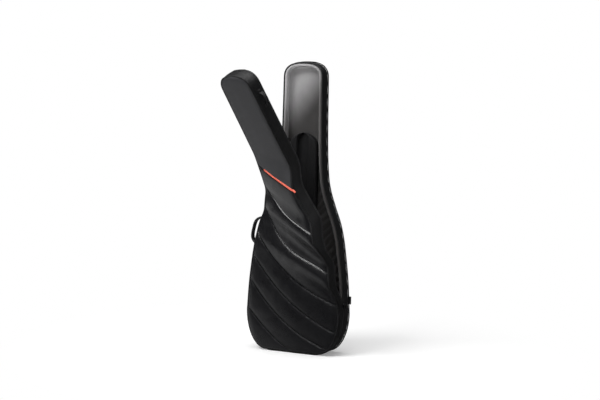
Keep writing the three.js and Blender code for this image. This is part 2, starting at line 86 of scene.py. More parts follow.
class Wire:
    """One output of a material's nodes, which takes part in sums and products."""

    def __init__(self, tree, socket):
        self.tree, self.socket = tree, socket

    def node(self, kind, settings=None, sockets=None, output=0):
        """Adds a node, sets it up, feeds its sockets, and gives one of its outputs."""
        made = self.tree.nodes.new(kind)
        for key, value in (settings or {}).items():
            setattr(made, key, value)
        for key, value in (sockets or {}).items():
            if isinstance(value, Wire):
                self.tree.links.new(value.socket, made.inputs[key])
            else:
                made.inputs[key].default_value = value
        return Wire(self.tree, made.outputs[output])

    def maths(self, operation, other=0.0, first=None):
        one, two = (self, other) if first is None else (first, self)
        return self.node("ShaderNodeMath", {"operation": operation}, {0: one, 1: two})

    def __add__(self, other):
        return self.maths("ADD", other)

    def __radd__(self, other):
        return self.maths("ADD", first=other)

    def __sub__(self, other):
        return self.maths("SUBTRACT", other)

    def __rsub__(self, other):
        return self.maths("SUBTRACT", first=other)

    def __mul__(self, other):
        return self.maths("MULTIPLY", other)

    def __rmul__(self, other):
        return self.maths("MULTIPLY", first=other)

    def __pow__(self, other):
        return self.maths("POWER", other)

    def noise(self, scale, detail=3.0, roughness=0.55, stretch=None):
        """Soft random mottling over the material, a value from 0 to 1."""
        at = self
        if stretch is not None:
            at = self.node("ShaderNodeVectorMath", {"operation": "MULTIPLY"},
                           {0: self, 1: stretch})
        return at.node("ShaderNodeTexNoise", {"noise_dimensions": "3D"},
                       {"Vector": at, "Scale": scale, "Detail": detail,
                        "Roughness": roughness})

    def tint(self, low, high):
        """A colour between low, where this value is 0, and high, where it is 1."""
        return self.node("ShaderNodeMix", {"data_type": "RGBA"},
                         {0: self, 6: (*low, 1.0), 7: (*high, 1.0)}, 2)

    def along(self, axis):
        return self.node("ShaderNodeSeparateXYZ", None, {0: self}, axis)


class Finish:
    """A procedural material. Its pattern follows the flat cut of the cloth where there is one."""

    def __init__(self, name, flat_cut=True, **constants):
        self.material = bpy.data.materials.new(name)
        self.material.use_nodes = True
        tree = self.material.node_tree
        self.shader = tree.nodes["Principled BSDF"]
        for key, value in constants.items():
            self.shader.inputs[key.replace("_", " ")].default_value = value
        start = Wire(tree, self.shader.outputs[0])
        if flat_cut:
            self.at = start.node("ShaderNodeAttribute", {"attribute_name": "flat_cut"},
                                 None, "Vector")
        else:
            self.at = start.node("ShaderNodeTexCoord", None, None, "Object")

    def feed(self, **values):
        for key, value in values.items():
            target = self.shader.inputs[key.replace("_", " ")]
            self.at.tree.links.new(value.socket, target)

    def bump(self, height, depth):
        """Raises the surface by height times depth in metres."""
        self.feed(Normal=self.at.node("ShaderNodeBump", None,
                                      {"Height": height, "Distance": depth,
                                       "Strength": 1.0}))


def rubber_finish(name, flat_cut):
    made = Finish(name, flat_cut, Specular_IOR_Level=0.4)
    mottle = made.at.noise(24.0)
    pebble = made.at.noise(900.0, 2.0)
    made.feed(Base_Color=mottle.tint((0.006, 0.006, 0.007), (0.016, 0.016, 0.017)),
              Roughness=0.62 + mottle * 0.22)
    made.bump(pebble, 0.0006)
    return made.material


moulded_rubber = rubber_finish("moulded_rubber", flat_cut=False)


def dress(node, *materials):
    """Puts a finish on a moulded or metal part that keeps its own shape."""
    slots = frame["nodes"][node].data.materials
    slots.clear()
    for material in materials:
        slots.append(material)


dress("rubber_sole", moulded_rubber)

# ---------------------------------------------------------------------------
# End bumper: a firm rubber block inside the bottom of the bag, which the
# instrument's strap button stands over. It is bonded to the bottom wall.
# ---------------------------------------------------------------------------
dress("end_bumper", moulded_rubber)

# ---------------------------------------------------------------------------
# Back panel: padded back of the bag, black nylon over board foam, quilted in
# one border seam and two channels that lie against the wearer.
# ---------------------------------------------------------------------------
half_body, half_neck = 0.188, 0.080
bottom_edge, widest_height, neck_base = 0.0043, 0.150, 0.700
bag_top, neck_crown, neck_corner, bottom_corner = 1.085, 0.004, 0.048, 0.080
flare = ((0, 1), (0.18, 0.945), (0.31, 0.875), (0.42, 0.8), (0.505, 0.73), (0.61, 0.6),
         (0.72, 0.39), (0.83, 0.2), (0.94, 0.1), (1.16, 0.035))


def smooth_line(points, pieces):
    """A soft curve through the points, as one fine line."""
    points, line = np.array(points, float), []
    for i in range(len(points) - 1):
        a, b = points[max(i - 1, 0)], points[i]
        c, d = points[i + 1], points[min(i + 2, len(points) - 1)]
        for t in np.linspace(0, 1, pieces, endpoint=False):
            line.append(0.5 * (2 * b + (c - a) * t + (2 * a - 5 * b + 4 * c - d) * t ** 2
                               + (3 * b - a - 3 * c + d) * t ** 3))
    return np.array([*line, points[-1]])


def arc(centre, radii, start, end, pieces):
    angles = np.radians(np.linspace(start, end, pieces))
    return np.stack([centre[0] + radii[0] * np.cos(angles),
                     centre[1] + radii[1] * np.sin(angles)], 1)


def respaced(line, count):
    """The line again, in count evenly spaced points."""
    run = np.concatenate([[0], np.cumsum(np.linalg.norm(np.diff(line, axis=0), axis=1))])
    at = np.linspace(0, run[-1], count)
    return np.stack([np.interp(at, run, line[:, k]) for k in range(line.shape[1])], 1)


neck_shoulder = bag_top - neck_crown - neck_corner
side_points = [(half_neck + (half_body - half_neck) * wide,
                widest_height + (neck_base - widest_height) * up) for up, wide in flare]
corner_middle = half_body - bottom_corner
right_side = np.vstack([
    [(0, bottom_edge)],
    arc((corner_middle, widest_height), (bottom_corner, widest_height - bottom_edge),
        -90, 0, 60),
    smooth_line([*side_points, (half_neck, neck_shoulder)], 20)[1:],
    arc((half_neck - neck_corner, neck_shoulder), (neck_corner, neck_corner), 0, 78, 24)[1:],
    arc((0, bag_top - 0.30), (0.30, 0.30), 84, 90, 8),
])


def bag_ring(count):
    """Places round the bag's outline from the bottom's middle, up the right side first,
    and the outward direction at each."""
    half = respaced(right_side, count // 2 + 1)
    place = np.vstack([half, half[-2:0:-1] * (-1, 1)])
    ahead = np.roll(place, -1, 0) - np.roll(place, 1, 0)
    ahead /= np.linalg.norm(ahead, axis=1)[:, None]
    return place, np.stack([ahead[:, 1], -ahead[:, 0]], 1)


def side_at(height):
    """Half the bag's width at a height."""
    right = bag_ring(1200)[0][:601]
    return np.interp(height, right[:, 1], right[:, 0], left=-1.0, right=-1.0)


def sweep(place, out, profile):
    """Points for a profile of (inset, y) run round the outline: stations by profile."""
    profile = np.asarray(profile, float)
    if profile.ndim == 2:
        profile = np.broadcast_to(profile, (len(place), *profile.shape))
    flat = place[:, None] - profile[..., :1] * out[:, None]
    return np.stack([flat[..., 0], profile[..., 1], flat[..., 1]], -1)


def net(rows, columns, close_rows=False, close_columns=False):
    """Four-sided faces over a grid of points."""
    r = np.arange(rows if close_rows else rows - 1)[:, None]
    c = np.arange(columns if close_columns else columns - 1)[None]
    up, across = (r + 1) % rows, (c + 1) % columns
    return np.stack([r * columns + c, r * columns + across, up * columns + across,
                     up * columns + c], -1).reshape(-1, 4)


def make(name, points, faces, material, cut=None):
    """A piece from points and faces, with the flat cut that its cloth pattern follows."""
    points = np.asarray(points, float).reshape(-1, 3)
    mesh = bpy.data.meshes.new(name)
    mesh.from_pydata(points.tolist(), [], np.asarray(faces).tolist())
    mesh.polygons.foreach_set("use_smooth", [True] * len(mesh.polygons))
    cut = points if cut is None else np.asarray(cut, float).reshape(-1, 3)
    held = mesh.attributes.new("flat_cut", "FLOAT_VECTOR", "POINT")
    held.data.foreach_set("vector", cut.astype(np.float32).ravel())
    mesh.materials.append(material)
    piece = bpy.data.objects.new(name, mesh)
    bpy.context.scene.collection.objects.link(piece)
    return piece


def on_root(piece, finish_slot, *nodes, body="root"):
    """Fixes a piece to a body and lets it stand for its plain solids, which it hides. The finish slot given is not
    used.
    """
    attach(piece, body)
    if nodes:
        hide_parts(*nodes)
    return piece


def woven_finish(name, low, high, thread, depth, roughness, gloss):
    """Plain-weave cloth: crossed threads, soft colour changes and rubbed places."""
    made = Finish(name, Specular_IOR_Level=gloss)
    across, up = made.at.along(0), made.at.along(2)
    weave = (across * (math.tau / thread)).maths("SINE") * \
        (up * (math.tau / thread)).maths("SINE")
    worn = made.at.noise(6.0, 4.0)
    speck = made.at.noise(420.0, 2.0)
    made.feed(Base_Color=(worn * 0.7 + speck * 0.3).tint(low, high),
              Roughness=roughness + (worn - 0.5) * 0.22 + weave * 0.03)
    made.bump(weave * 0.2 + speck * 0.15 + worn * 1.2, depth)
    return made.material


back_front, back_rear = 0.0462, 0.0522
panel_nylon = woven_finish("panel_nylon", (0.010, 0.010, 0.011), (0.022, 0.022, 0.024),
                           0.0011, 0.0004, 0.5, 0.5)


def slanted_rows(inset, curves, count):
    """Rows of points across the bag from curve to curve, each row ending on the outline
    at the inset. A curve gives height from x."""
    place, out = bag_ring(1200)
    edge = (place - inset * out)[:601]
    low, high = edge[:, 1].min() + 1e-4, edge[:, 1].max() - 1e-4
    probe = np.linspace(-half_body, half_body, 1505)
    share = 0.5 - 0.5 * np.cos(np.linspace(0, math.pi, count))
    share = 0.45 * share + 0.55 * np.linspace(0, 1, count)
    rows = []
    for curve in curves:
        height = curve(probe)
        side = np.interp(height, edge[:, 1], edge[:, 0])
        inside = (height > low) & (height < high) & (np.abs(probe) < side)
        if inside.sum() < 3:
            continue
        first, last = probe[inside][0], probe[inside][-1]
        x = first + (last - first) * share
        rows.append(np.stack([x, curve(x)], 1))
    return np.array(rows)


def edge_distance(flat, inset=0.0):
    """How far each (x, z) point lies inside the outline."""
    place, out = bag_ring(700)
    edge = place - inset * out
    points = flat.reshape(-1, 2)
    near = np.concatenate([
        np.min(np.linalg.norm(part[:, None] - edge[None], axis=2), axis=1)
        for part in np.array_split(points, max(1, len(points) // 2000))])
    return near.reshape(flat.shape[:-1])


def level(height):
    return lambda x: np.full_like(x, height)


def slab_rows(front, back):
    """One closed sheet round a front and a back grid of the same size."""
    rows, columns = front.shape[:2]
    ring = np.concatenate([front, back[:, ::-1]], 1)
    return ring, net(rows, 2 * columns, close_columns=True)


back_heights = np.concatenate([[bottom_edge + 0.0006], np.arange(0.010, 1.078, 0.008),
                               [1.0795, 1.0820, 1.0838]])
back_grid = slanted_rows(0.0006, [level(z) for z in back_heights], 48)
reach = edge_distance(back_grid, 0.0006)
rear = back_rear - 0.0050 * np.clip(1 - reach / 0.011, 0, 1) ** 2.2
rear -= 0.0024 * np.exp(-((reach - 0.026) / 0.0022) ** 2)
for seam_x in (-0.016, 0.016):
    near_seam = np.exp(-((back_grid[..., 0] - seam_x) / 0.0022) ** 2)
    rear -= 0.0022 * near_seam * np.clip((reach - 0.026) / 0.004, 0, 1)
inner = np.full_like(rear, back_front)
rear = np.maximum(rear, inner + 0.0004)
back_points, back_faces = slab_rows(
    np.stack([back_grid[..., 0], rear, back_grid[..., 1]], -1),
    np.stack([back_grid[..., 0], inner, back_grid[..., 1]], -1))
back_panel = make("padded_back", back_points, back_faces, panel_nylon)
on_root(back_panel, "outer_fabric", "back_panel", "back_foam_board")

# ---------------------------------------------------------------------------
# Side wall of the shell: a foam-filled gusset of ballistic nylon, sewn round
# the edge of the back. Its seams pull the edges in and the foam fills it out.
# ---------------------------------------------------------------------------
wall_stations = 520
wall_place, wall_out = bag_ring(wall_stations)
wall_run = np.arange(wall_stations) / wall_stations * math.tau


def ripple(run, waves, size):
    """A soft uneven wave round a closed edge, of about the size given."""
    total = sum(np.sin(run * count + shift) for count, shift in waves)
    return total * size / len(waves)


def gusset(front, rear, thickness, fullness, unevenness):
    """A filled wall between two depths: inset and y round its closed section."""
    middle, half = (front + rear) / 2, (rear - front) / 2
    outer = [(0.0022, -1.0), (0.0006, -0.93), (-0.1, -0.7), (-0.75, -0.3), (-0.9, 0.1),
             (-0.6, 0.5), (0.0, 0.8), (0.0008, 0.94), (0.0026, 1.0)]
    section = [(a if a > 0 else a * fullness, middle + half * b) for a, b in outer]
    section += [(thickness - 0.0015, middle + half), (thickness, middle + half - 0.0015),
                (thickness, middle - half + 0.0015), (thickness - 0.0015, middle - half)]
    section = np.broadcast_to(section, (wall_stations, len(section), 2)).copy()
    section[:, 2:6, 0] += unevenness[:, None]
    return section


wall_nylon = woven_finish("ballistic_nylon", (0.005, 0.005, 0.0055), (0.013, 0.013, 0.014),
                          0.0014, 0.0005, 0.50, 0.40)
wall_waves = ripple(wall_run, [(19, 0.3), (31, 1.9), (47, 4.0)], 0.0006)
wall_section = gusset(0.0058, 0.0462, 0.012, 0.0016, wall_waves)
shell_wall = make("shell_side_wall", sweep(wall_place, wall_out, wall_section),
                  net(wall_stations, wall_section.shape[1], True, True), wall_nylon)
on_root(shell_wall, "wall_fabric", "shell_wall_bottom", "shell_wall_right",
        "shell_wall_left", "shell_wall_neck")

# ---------------------------------------------------------------------------
# Edge binding: folded black webbing tape sewn over the raw edges where the
# back meets the side wall, with one row of stitches near its edge.
# ---------------------------------------------------------------------------
binding_tape = woven_finish("binding_tape", (0.004, 0.004, 0.0045), (0.011, 0.011, 0.012),
                            0.0009, 0.0005, 0.6, 0.45)


def rounded_section(inset, y, half_wide, half_deep, points=12, squareness=3.2):
    """A soft-cornered closed section about a place in inset and y."""
    angle = np.linspace(0, math.tau, points, endpoint=False)
    c, s = np.cos(angle), np.sin(angle)
    power = 2 / squareness
    return np.stack([inset + half_wide * np.sign(c) * np.abs(c) ** power,
                     y + half_deep * np.sign(s) * np.abs(s) ** power], 1)


binding = make("back_edge_binding",
               sweep(wall_place, wall_out, rounded_section(-0.0014, 0.0496, 0.0020, 0.0027)),
               net(wall_stations, 12, True, True), binding_tape)
on_root(binding, "webbing", "back_binding")


def stitch_row(name, path, facing, length, gap, thick, material):
    """Short raised threads laid end to end along a path, each one a little capsule."""
    per_stitch = 6
    run = np.concatenate([[0], np.cumsum(np.linalg.norm(np.diff(path, axis=0), axis=1))])
    starts = np.arange(gap / 2, run[-1] - length, length + gap)
    points, faces = [], []
    ring = np.linspace(0, math.tau, per_stitch, endpoint=False)
    shape = ((0.0, 0.25), (0.15, 0.9), (0.5, 1.0), (0.85, 0.9), (1.0, 0.25))
    for start in starts:
        base = len(points)
        at = np.array([start + share * length for share, _ in shape])
        centre = np.stack([np.interp(at, run, path[:, k]) for k in range(3)], 1)
        out = np.stack([np.interp(at, run, facing[:, k]) for k in range(3)], 1)
        ahead = centre[-1] - centre[0]
        ahead /= np.linalg.norm(ahead)
        for (share, fat), c, o in zip(shape, centre, out):
            side = np.cross(ahead, o)
            side /= np.linalg.norm(side)
            up = np.cross(side, ahead)
            points.extend(c + thick * fat * (math.cos(a) * side + math.sin(a) * up)
                          for a in ring)
        for r in range(len(shape) - 1):
            for k in range(per_stitch):
                a, b = base + r * per_stitch, (k + 1) % per_stitch
                faces.append((a + k, a + b, a + per_stitch + b, a + per_stitch + k))
        faces.append(tuple(range(base + per_stitch - 1, base - 1, -1)))
        top = base + (len(shape) - 1) * per_stitch
        faces.append(tuple(range(top, top + per_stitch)))
    mesh = bpy.data.meshes.new(name)
    mesh.from_pydata([tuple(p) for p in points], [], faces)
    mesh.polygons.foreach_set("use_smooth", [True] * len(faces))
    mesh.attributes.new("flat_cut", "FLOAT_VECTOR", "POINT").data.foreach_set(
        "vector", np.array(points, np.float32).ravel())
    mesh.materials.append(material)
    piece = bpy.data.objects.new(name, mesh)
    bpy.context.scene.collection.objects.link(piece)
    return piece


thread_black = woven_finish("sewing_thread", (0.012, 0.012, 0.013), (0.03, 0.03, 0.032),
                            0.0006, 0.0002, 0.5, 0.5)


def sew(name, line, facing, length, gap, thick, body="root"):
    """A row of black stitches along a line, raised to the side that faces out."""
    row = stitch_row(name, line, np.broadcast_to(facing, line.shape), length, gap, thick,
                     thread_black)
    on_root(row, "webbing", body=body)


border_points = 700
stitch_place, stitch_out = bag_ring(border_points)
stitch_line = sweep(stitch_place, stitch_out, [(0.0046, 0.0522)])[:, 0]

# ---------------------------------------------------------------------------
# Plush lining: grey brushed pile over foam, on the back and up the inside of
# the wall, where it rolls over the rim to the zip tape. It is quilted slantwise.
# ---------------------------------------------------------------------------


def plush_finish(name, dark, pale, painted_shade_tint):
    """Brushed pile: soft, matt, mottled where the nap lies one way or the other, with painted light towards the
    top and the left and painted shade, dark and warm, lower down.
    """
    made = Finish(name, Specular_IOR_Level=0.12, Sheen_Weight=0.45, Sheen_Roughness=0.55,
                  Sheen_Tint=(0.9, 0.9, 0.92, 1.0))
    nap = made.at.noise(34.0, 4.0, 0.6, (1.0, 1.0, 0.45))
    pile = made.at.noise(1100.0, 2.0)
    tone = nap * 0.6 + pile * 0.4
    # Painted light and shade: the plush turns paler towards the top and the left, where the lamps fall, and darker
    # lower down and to the right.
    height = made.at.along(2) - made.at.along(0) * 1.1
    rise = height.node("ShaderNodeMapRange", {"interpolation_type": "SMOOTHSTEP"},
                       {"Value": height, "From Min": 0.86, "From Max": 1.09})
    # Painted shade: low down the plush is darkened and warmed by the last colour given, and its pale tone is cut
    # to about half.
    lower = tone.tint(tuple(c * w for c, w in zip(dark, painted_shade_tint)),
                      tuple(c * 0.55 * w for c, w in zip(pale, painted_shade_tint)))
    upper = tone.tint(dark, pale)
    colour = made.at.node("ShaderNodeMix", {"data_type": "RGBA"},
                          {0: rise, 6: lower, 7: upper}, 2)
    made.feed(Base_Color=colour, Roughness=0.86 + nap * 0.12)
    made.bump(pile * 0.8 + nap * 0.9, 0.0008)
    return made.material


# Two copies of one plush with different painted shade: the lining is darkened strongly low down and the rim's copy
# less, as painted light on the rolled rim.
plush = plush_finish("grey_plush", (0.36, 0.355, 0.36), (0.54, 0.53, 0.535),
                     (0.115, 0.110, 0.105))
rim_plush = plush_finish("rim_plush", (0.36, 0.355, 0.36), (0.54, 0.53, 0.535),
                         (0.27, 0.258, 0.25))
rim_roll = [(0.0052, 0.0064), (0.0060, 0.0040), (0.0082, 0.0019), (0.0112, 0.0012),
            (0.0138, 0.0022), (0.0156, 0.0048), (0.0163, 0.0090), (0.0160, 0.0180),
            (0.0160, 0.0300), (0.0150, 0.0345), (0.0124, 0.0345), (0.0124, 0.0180),
            (0.0124, 0.0085), (0.0100, 0.0068)]
roll_section = np.broadcast_to(rim_roll, (wall_stations, len(rim_roll), 2)).copy()
roll_puckers = ripple(wall_run, [(61, 0.0), (83, 2.1), (37, 4.4)], 0.0007)
roll_section[:, 2:7, 0] += roll_puckers[:, None]
roll_section[:, 1:5, 1] += 0.6 * np.abs(roll_puckers)[:, None]
rim_lining = make("rim_lining", sweep(wall_place, wall_out, roll_section),
                  net(wall_stations, len(rim_roll), True, True), rim_plush)
on_root(rim_lining, "lining_plush", "wall_lining")

quilt_heights = np.concatenate([[0.0208], np.arange(0.026, 1.062, 0.0055), [1.0655, 1.0675]])
quilt = slanted_rows(0.0163, [level(z) for z in quilt_heights], 66)
x, z = quilt[..., 0], quilt[..., 1]
quilt_edge = edge_distance(quilt, 0.0163)
slant = (z - 1.15 * x) / 0.036 + 0.22 * np.sin(z * 23 + x * 14) + 0.12 * np.sin(x * 61 - z * 37)
body_share = np.clip((0.73 - z) / 0.16, 0, 1)
puff = np.abs(np.sin(np.pi * slant)) ** 0.55
quilt_y = 0.0330 - 0.0080 * (puff - 0.6) * body_share
quilt_y -= 0.0006 * np.sin(x * 95 + z * 31) * np.sin(z * 67) * (1 - body_share)
quilt_y -= 0.0060 * np.clip(1 - quilt_edge / 0.013, 0, 1) ** 2
quilt_front = np.stack([x, np.minimum(quilt_y, 0.0358), z], -1)
quilt_rear = np.stack([x, np.full_like(x, 0.0364), z], -1)
quilt_points, quilt_faces = slab_rows(quilt_front, quilt_rear)
back_quilt = make("quilted_back_lining", quilt_points, quilt_faces, plush)
on_root(back_quilt, "lining_plush", "back_lining")

# ---------------------------------------------------------------------------
# Neck cradle: a block of black moulded foam with an arched top and a channel
# down its middle that holds the instrument's neck. It is bonded to the lining.
# ---------------------------------------------------------------------------
foam_black = Finish("moulded_foam", Specular_IOR_Level=0.35)
cells = foam_black.at.noise(700.0, 3.0)
moulding = foam_black.at.noise(18.0)
foam_black.feed(Base_Color=moulding.tint((0.004, 0.004, 0.0045), (0.010, 0.010, 0.011)),
                Roughness=0.74 + moulding * 0.18)
foam_black.bump(cells, 0.0005)

cradle_low, cradle_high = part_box("neck_cradle")
cradle_half = (cradle_high.x - cradle_low.x) / 2
arch_centre = cradle_high.z - cradle_half
channel_half, channel_deep = 0.023, 0.016
cradle_heights = np.concatenate([
    cradle_low.z + np.array([0.0, 0.0012, 0.004, 0.008]),
    np.arange(cradle_low.z + 0.016, arch_centre, 0.012),
    arch_centre + cradle_half * np.sin(np.radians(np.linspace(0, 88.5, 26)))])
rise = np.clip(cradle_heights - arch_centre, 0, None)
across_half = np.sqrt(np.clip(cradle_half ** 2 - rise ** 2, 1e-8, None))
side_share = np.array([-1, -0.995, -0.975, -0.93, -0.87, -0.75, -0.6, -0.47])
cradle_rows = []
for height, half in zip(cradle_heights, across_half):
    lips = min(channel_half, half * 0.6)
    x = np.concatenate([
        half * side_share[:5], np.linspace(-0.8 * half, -lips - 0.008, 4),
        [-lips - 0.004, -lips - 0.0012, -lips + 0.0003, -lips + 0.0012],
        np.linspace(-lips + 0.004, lips - 0.004, 5),
        [lips - 0.0012, lips - 0.0003, lips + 0.0012, lips + 0.004],
        np.linspace(lips + 0.008, 0.8 * half, 4), half * -side_share[4::-1]])
    x = np.sort(x)
    from_end = height - cradle_low.z
    top_edge = cradle_half - np.hypot(x, max(height - arch_centre, 0))
    edge = np.minimum(np.clip(top_edge, 0, None), half - np.abs(x))
    shoulder = np.clip(1 - np.minimum(edge, from_end) / 0.009, 0, 1)
    y = cradle_low.y + 0.0085 * (1 - np.sqrt(np.clip(1 - shoulder ** 2, 0, 1)))
    wall = np.clip((lips + 0.0012 - np.abs(x)) / 0.0026, 0, 1)
    y = y + channel_deep * wall * wall * (3 - 2 * wall)
    cradle_rows.append(np.stack([x, np.minimum(y, cradle_high.y - 0.0005),
                                 np.full_like(x, height)], -1))
cradle_front = np.array(cradle_rows)
cradle_back = cradle_front.copy()
cradle_back[..., 1] = cradle_high.y
cradle_points, cradle_faces = slab_rows(cradle_front, cradle_back)
cradle = make("neck_cradle_foam", cradle_points, cradle_faces, foam_black.material)
on_root(cradle, "cradle_foam", "neck_cradle")

# ---------------------------------------------------------------------------
# Zip of the shell: black coil on woven tape, sewn to the front edge of the side
# wall. It is shut from one slider round the bottom to the other.
# ---------------------------------------------------------------------------
zip_tape = woven_finish("zip_tape", (0.012, 0.012, 0.013), (0.030, 0.030, 0.032),
                        0.0008, 0.0004, 0.6, 0.4)
zip_coil = Finish("zip_coil", Specular_IOR_Level=0.6)
coil_rub = zip_coil.at.noise(60.0)
zip_coil.feed(Base_Color=coil_rub.tint((0.006, 0.006, 0.007), (0.02, 0.02, 0.022)),
              Roughness=0.34 + coil_rub * 0.16)
zip_coil = zip_coil.material


def coil(place, out, inset, y, wide, deep):
    """Small turns of the coil side by side along the zip: points and faces."""
    every = 2
    count = (len(place) - 1) // every * every
    points, faces = [], []
    for i in range(0, count, every):
        j = (i + every - 1) % len(place)
        a, b = place[i], place[j]
        start, end = a + (b - a) * 0.06, a + (b - a) * 0.94
        base = len(points)
        for p, narrow in ((start, 0.72), (a + (b - a) * 0.5, 1.0), (end, 0.72)):
            for s, t in ((-1, -1), (1, -1), (1, 1), (-1, 1)):
                flat = p - out[i] * (inset + s * wide / 2 * narrow)
                points.append((flat[0], y + t * deep / 2 * narrow, flat[1]))
        faces.append((base + 3, base + 2, base + 1, base))
        for r in (base, base + 4):
            faces.extend((r + k, r + (k + 1) % 4, r + 4 + (k + 1) % 4, r + 4 + k)
                         for k in range(4))
        faces.append((base + 8, base + 9, base + 10, base + 11))
    return np.array(points), np.array(faces)


zip_stations = 1720
zip_place, zip_out = bag_ring(zip_stations)
open_start = int(np.argmax(zip_place[:, 1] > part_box("zip_slider_right")[1].z - 0.003))
open_end = zip_stations - int(np.argmax(
    zip_place[::-1][:, 1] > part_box("zip_slider_left")[1].z - 0.003))


def zip_tape_along(name, chosen, far, near):
    """Woven tape along the chosen stations, from its sewn edge to its free edge."""
    section = np.array([(0.0021, far), (0.0018, (far + near) / 2), (0.0021, near),
                        (0.0029, near), (0.0030, (far + near) / 2), (0.0034, far)])
    points = sweep(zip_place[chosen][::4], zip_out[chosen][::4], section)
    return make(name, points, net(len(points), 6, False, True), zip_tape)


def zip_coil_along(name, chosen, y):
    points, faces = coil(zip_place[chosen], zip_out[chosen], 0.0026, y, 0.0032, 0.0021)
    return make(name, points, faces, zip_coil)


open_part = np.arange(open_start, open_end)
shut_part = np.arange(open_end - zip_stations, open_start)
shell_tape = zip_tape_along("shell_zip_tape", open_part, 0.0064, 0.0006)
on_root(shell_tape, "zip", "shell_zip_half")
shell_coil = zip_coil_along("shell_zip_coil", open_part, 0.0016)
on_root(shell_coil, "zip")
shut_tape = zip_tape_along("shut_zip_tape", shut_part, 0.0064, -0.0064)
on_root(shut_tape, "zip", "closed_zip")
shut_coil = zip_coil_along("shut_zip_coil", shut_part, 0.0)
on_root(shut_coil, "zip")

# ---------------------------------------------------------------------------
# Lid panel: padded front of the bag, satin nylon over foam, sewn through in
# slanting seams. It is one cloth, and the lid folds open along its quilting.
# ---------------------------------------------------------------------------
fold_joints = [next(j for j in frame["joints"] if j["name"] == f"lid_{part}_fold")
               for part in ("waist", "middle", "upper", "neck")]
lid_bodies = ["root"] + [j["child"] for j in fold_joints]
shares = {c["joint"]: c["ratio"] for c in frame["record"]["behaviour"]["couplings"]}
full_turn = -math.radians(fold_joints[2]["range_deg"][0])
fold_turns = [full_turn * shares.get(j["name"], 1.0) for j in fold_joints]
fold_slope = 0.5
slant_length = math.sqrt(1 + fold_slope ** 2)
across_fold = np.array((fold_slope, 0.0, 1.0)) / slant_length
fold_zones = ((0.279, 0.378), (0.420, 0.498), (0.522, 0.600), (0.668, 0.765))
strip_ends = (0.398, 0.510, 0.634)


def turned(points, axis, place, angle):
    """Points turned about an axis through a place, each by its own angle."""
    arm = points - place
    c, s = np.cos(angle)[:, None], np.sin(angle)[:, None]
    return (place + arm * c + np.cross(axis, arm) * s
            + axis * (arm @ axis)[:, None] * (1 - c))


def joint_line(joint):
    axis = np.array(joint["axis"], float)
    return axis / np.linalg.norm(axis), np.array(joint["pos_m"], float)


def carried(points, section):
    """Points of the shut lid, where the given section holds them at rest."""
    for joint, angle in list(zip(fold_joints, fold_turns))[:section]:
        axis, place = joint_line(joint)
        points = turned(points, axis, place, np.full(len(points), angle))
    return points


def fold_span(strip):
    """Start and end at rest of the cloth that bends over this strip's fold."""
    joint, zone = fold_joints[strip], fold_zones[strip]
    place = joint_line(joint)[1]
    basis = carried(np.vstack([np.zeros(3), np.eye(3)]), strip)
    spin = (basis[1:] - basis[0]).T
    shut = np.linalg.solve(spin, place - basis[0])
    line = shut[2] + fold_slope * shut[0]
    ends = shut + across_fold * (np.array(zone)[:, None] - line) / slant_length
    return carried(ends, strip)


def bent(points, strip):
    """Points of the shut lid bent over one fold, at rest."""
    joint, angle = fold_joints[strip], fold_turns[strip]
    axis, place = joint_line(joint)
    start, end = fold_span(strip)
    before, span = carried(points, strip), end - start
    share = np.full(len(points), 0.5)
    for _ in range(60):
        now = turned(before, axis, place, share * angle)
        run = np.clip((now - start) @ span / (span @ span), 0, 1)
        share = 0.5 * share + 0.5 * run * run * (3 - 2 * run)
    return turned(before, axis, place, share * angle)


def surface_normals(points, faces):
    corners = points[faces]
    flat = np.cross(corners[:, 2] - corners[:, 0], corners[:, 3] - corners[:, 1])
    total = np.zeros_like(points)
    for k in range(4):
        np.add.at(total, faces[:, k], flat)
    return total / np.maximum(np.linalg.norm(total, axis=1), 1e-12)[:, None]


def strip_of(points):
    return np.digitize(points[:, 2] + fold_slope * points[:, 0], strip_ends)


strip_names = ("lower", "waist", "middle", "neck")


def fold_lid(name, points, faces, material, nodes=None):
    """Cuts a layer of the shut lid into one piece for each fold, bends it open, and shades
    the pieces as the one cloth they are."""
    points, faces = np.asarray(points, float).reshape(-1, 3), np.asarray(faces)
    owner = strip_of(points)
    open_points = np.zeros_like(points)
    for strip in range(4):
        mine = owner == strip
        if mine.any():
            open_points[mine] = bent(points[mine], strip)
    normals = surface_normals(open_points, faces)
    face_strip = strip_of(points[faces].mean(1))
    for strip in range(4):
        chosen = faces[face_strip == strip]
        if not len(chosen):
            continue
        used, again = np.unique(chosen, return_inverse=True)
        piece = make(f"{name}_{strip_names[strip]}", open_points[used],
                     again.reshape(chosen.shape), material, points[used])
        piece.data.normals_split_custom_set_from_vertices(normals[used].tolist())
        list(fold_span(strip).tolist())
        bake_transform(piece)
        if nodes:
            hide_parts(*nodes[strip])


# Height of each sewn line of the quilting, with z = a + (b - 0.75) x + c x2 + d x3.
quilt_lines = ((-0.100, 0.0, 0.5, 0.0), (0.006, 0.183, 1.543, 0.0),
               (0.0968, 0.0807, 1.508, -2.0), (0.1897, -0.0146, 1.476, -1.88),
               (0.2863, -0.0104, 1.879, -2.66), (0.3992, 0.0434, 3.70, -13.9),
               (0.5395, 0.0298, 2.667, -7.47), (0.6766, 0.2546, -0.243, 0.0),
               (1.170, 0.0, 0.0, 0.0))
accent_line = 7


def quilt_height(line, x):
    a, b, c, d = quilt_lines[line]
    x = np.maximum(x, -0.12) if line > 4 else x
    return a + (b - 0.75) * x + c * x ** 2 + d * x ** 3


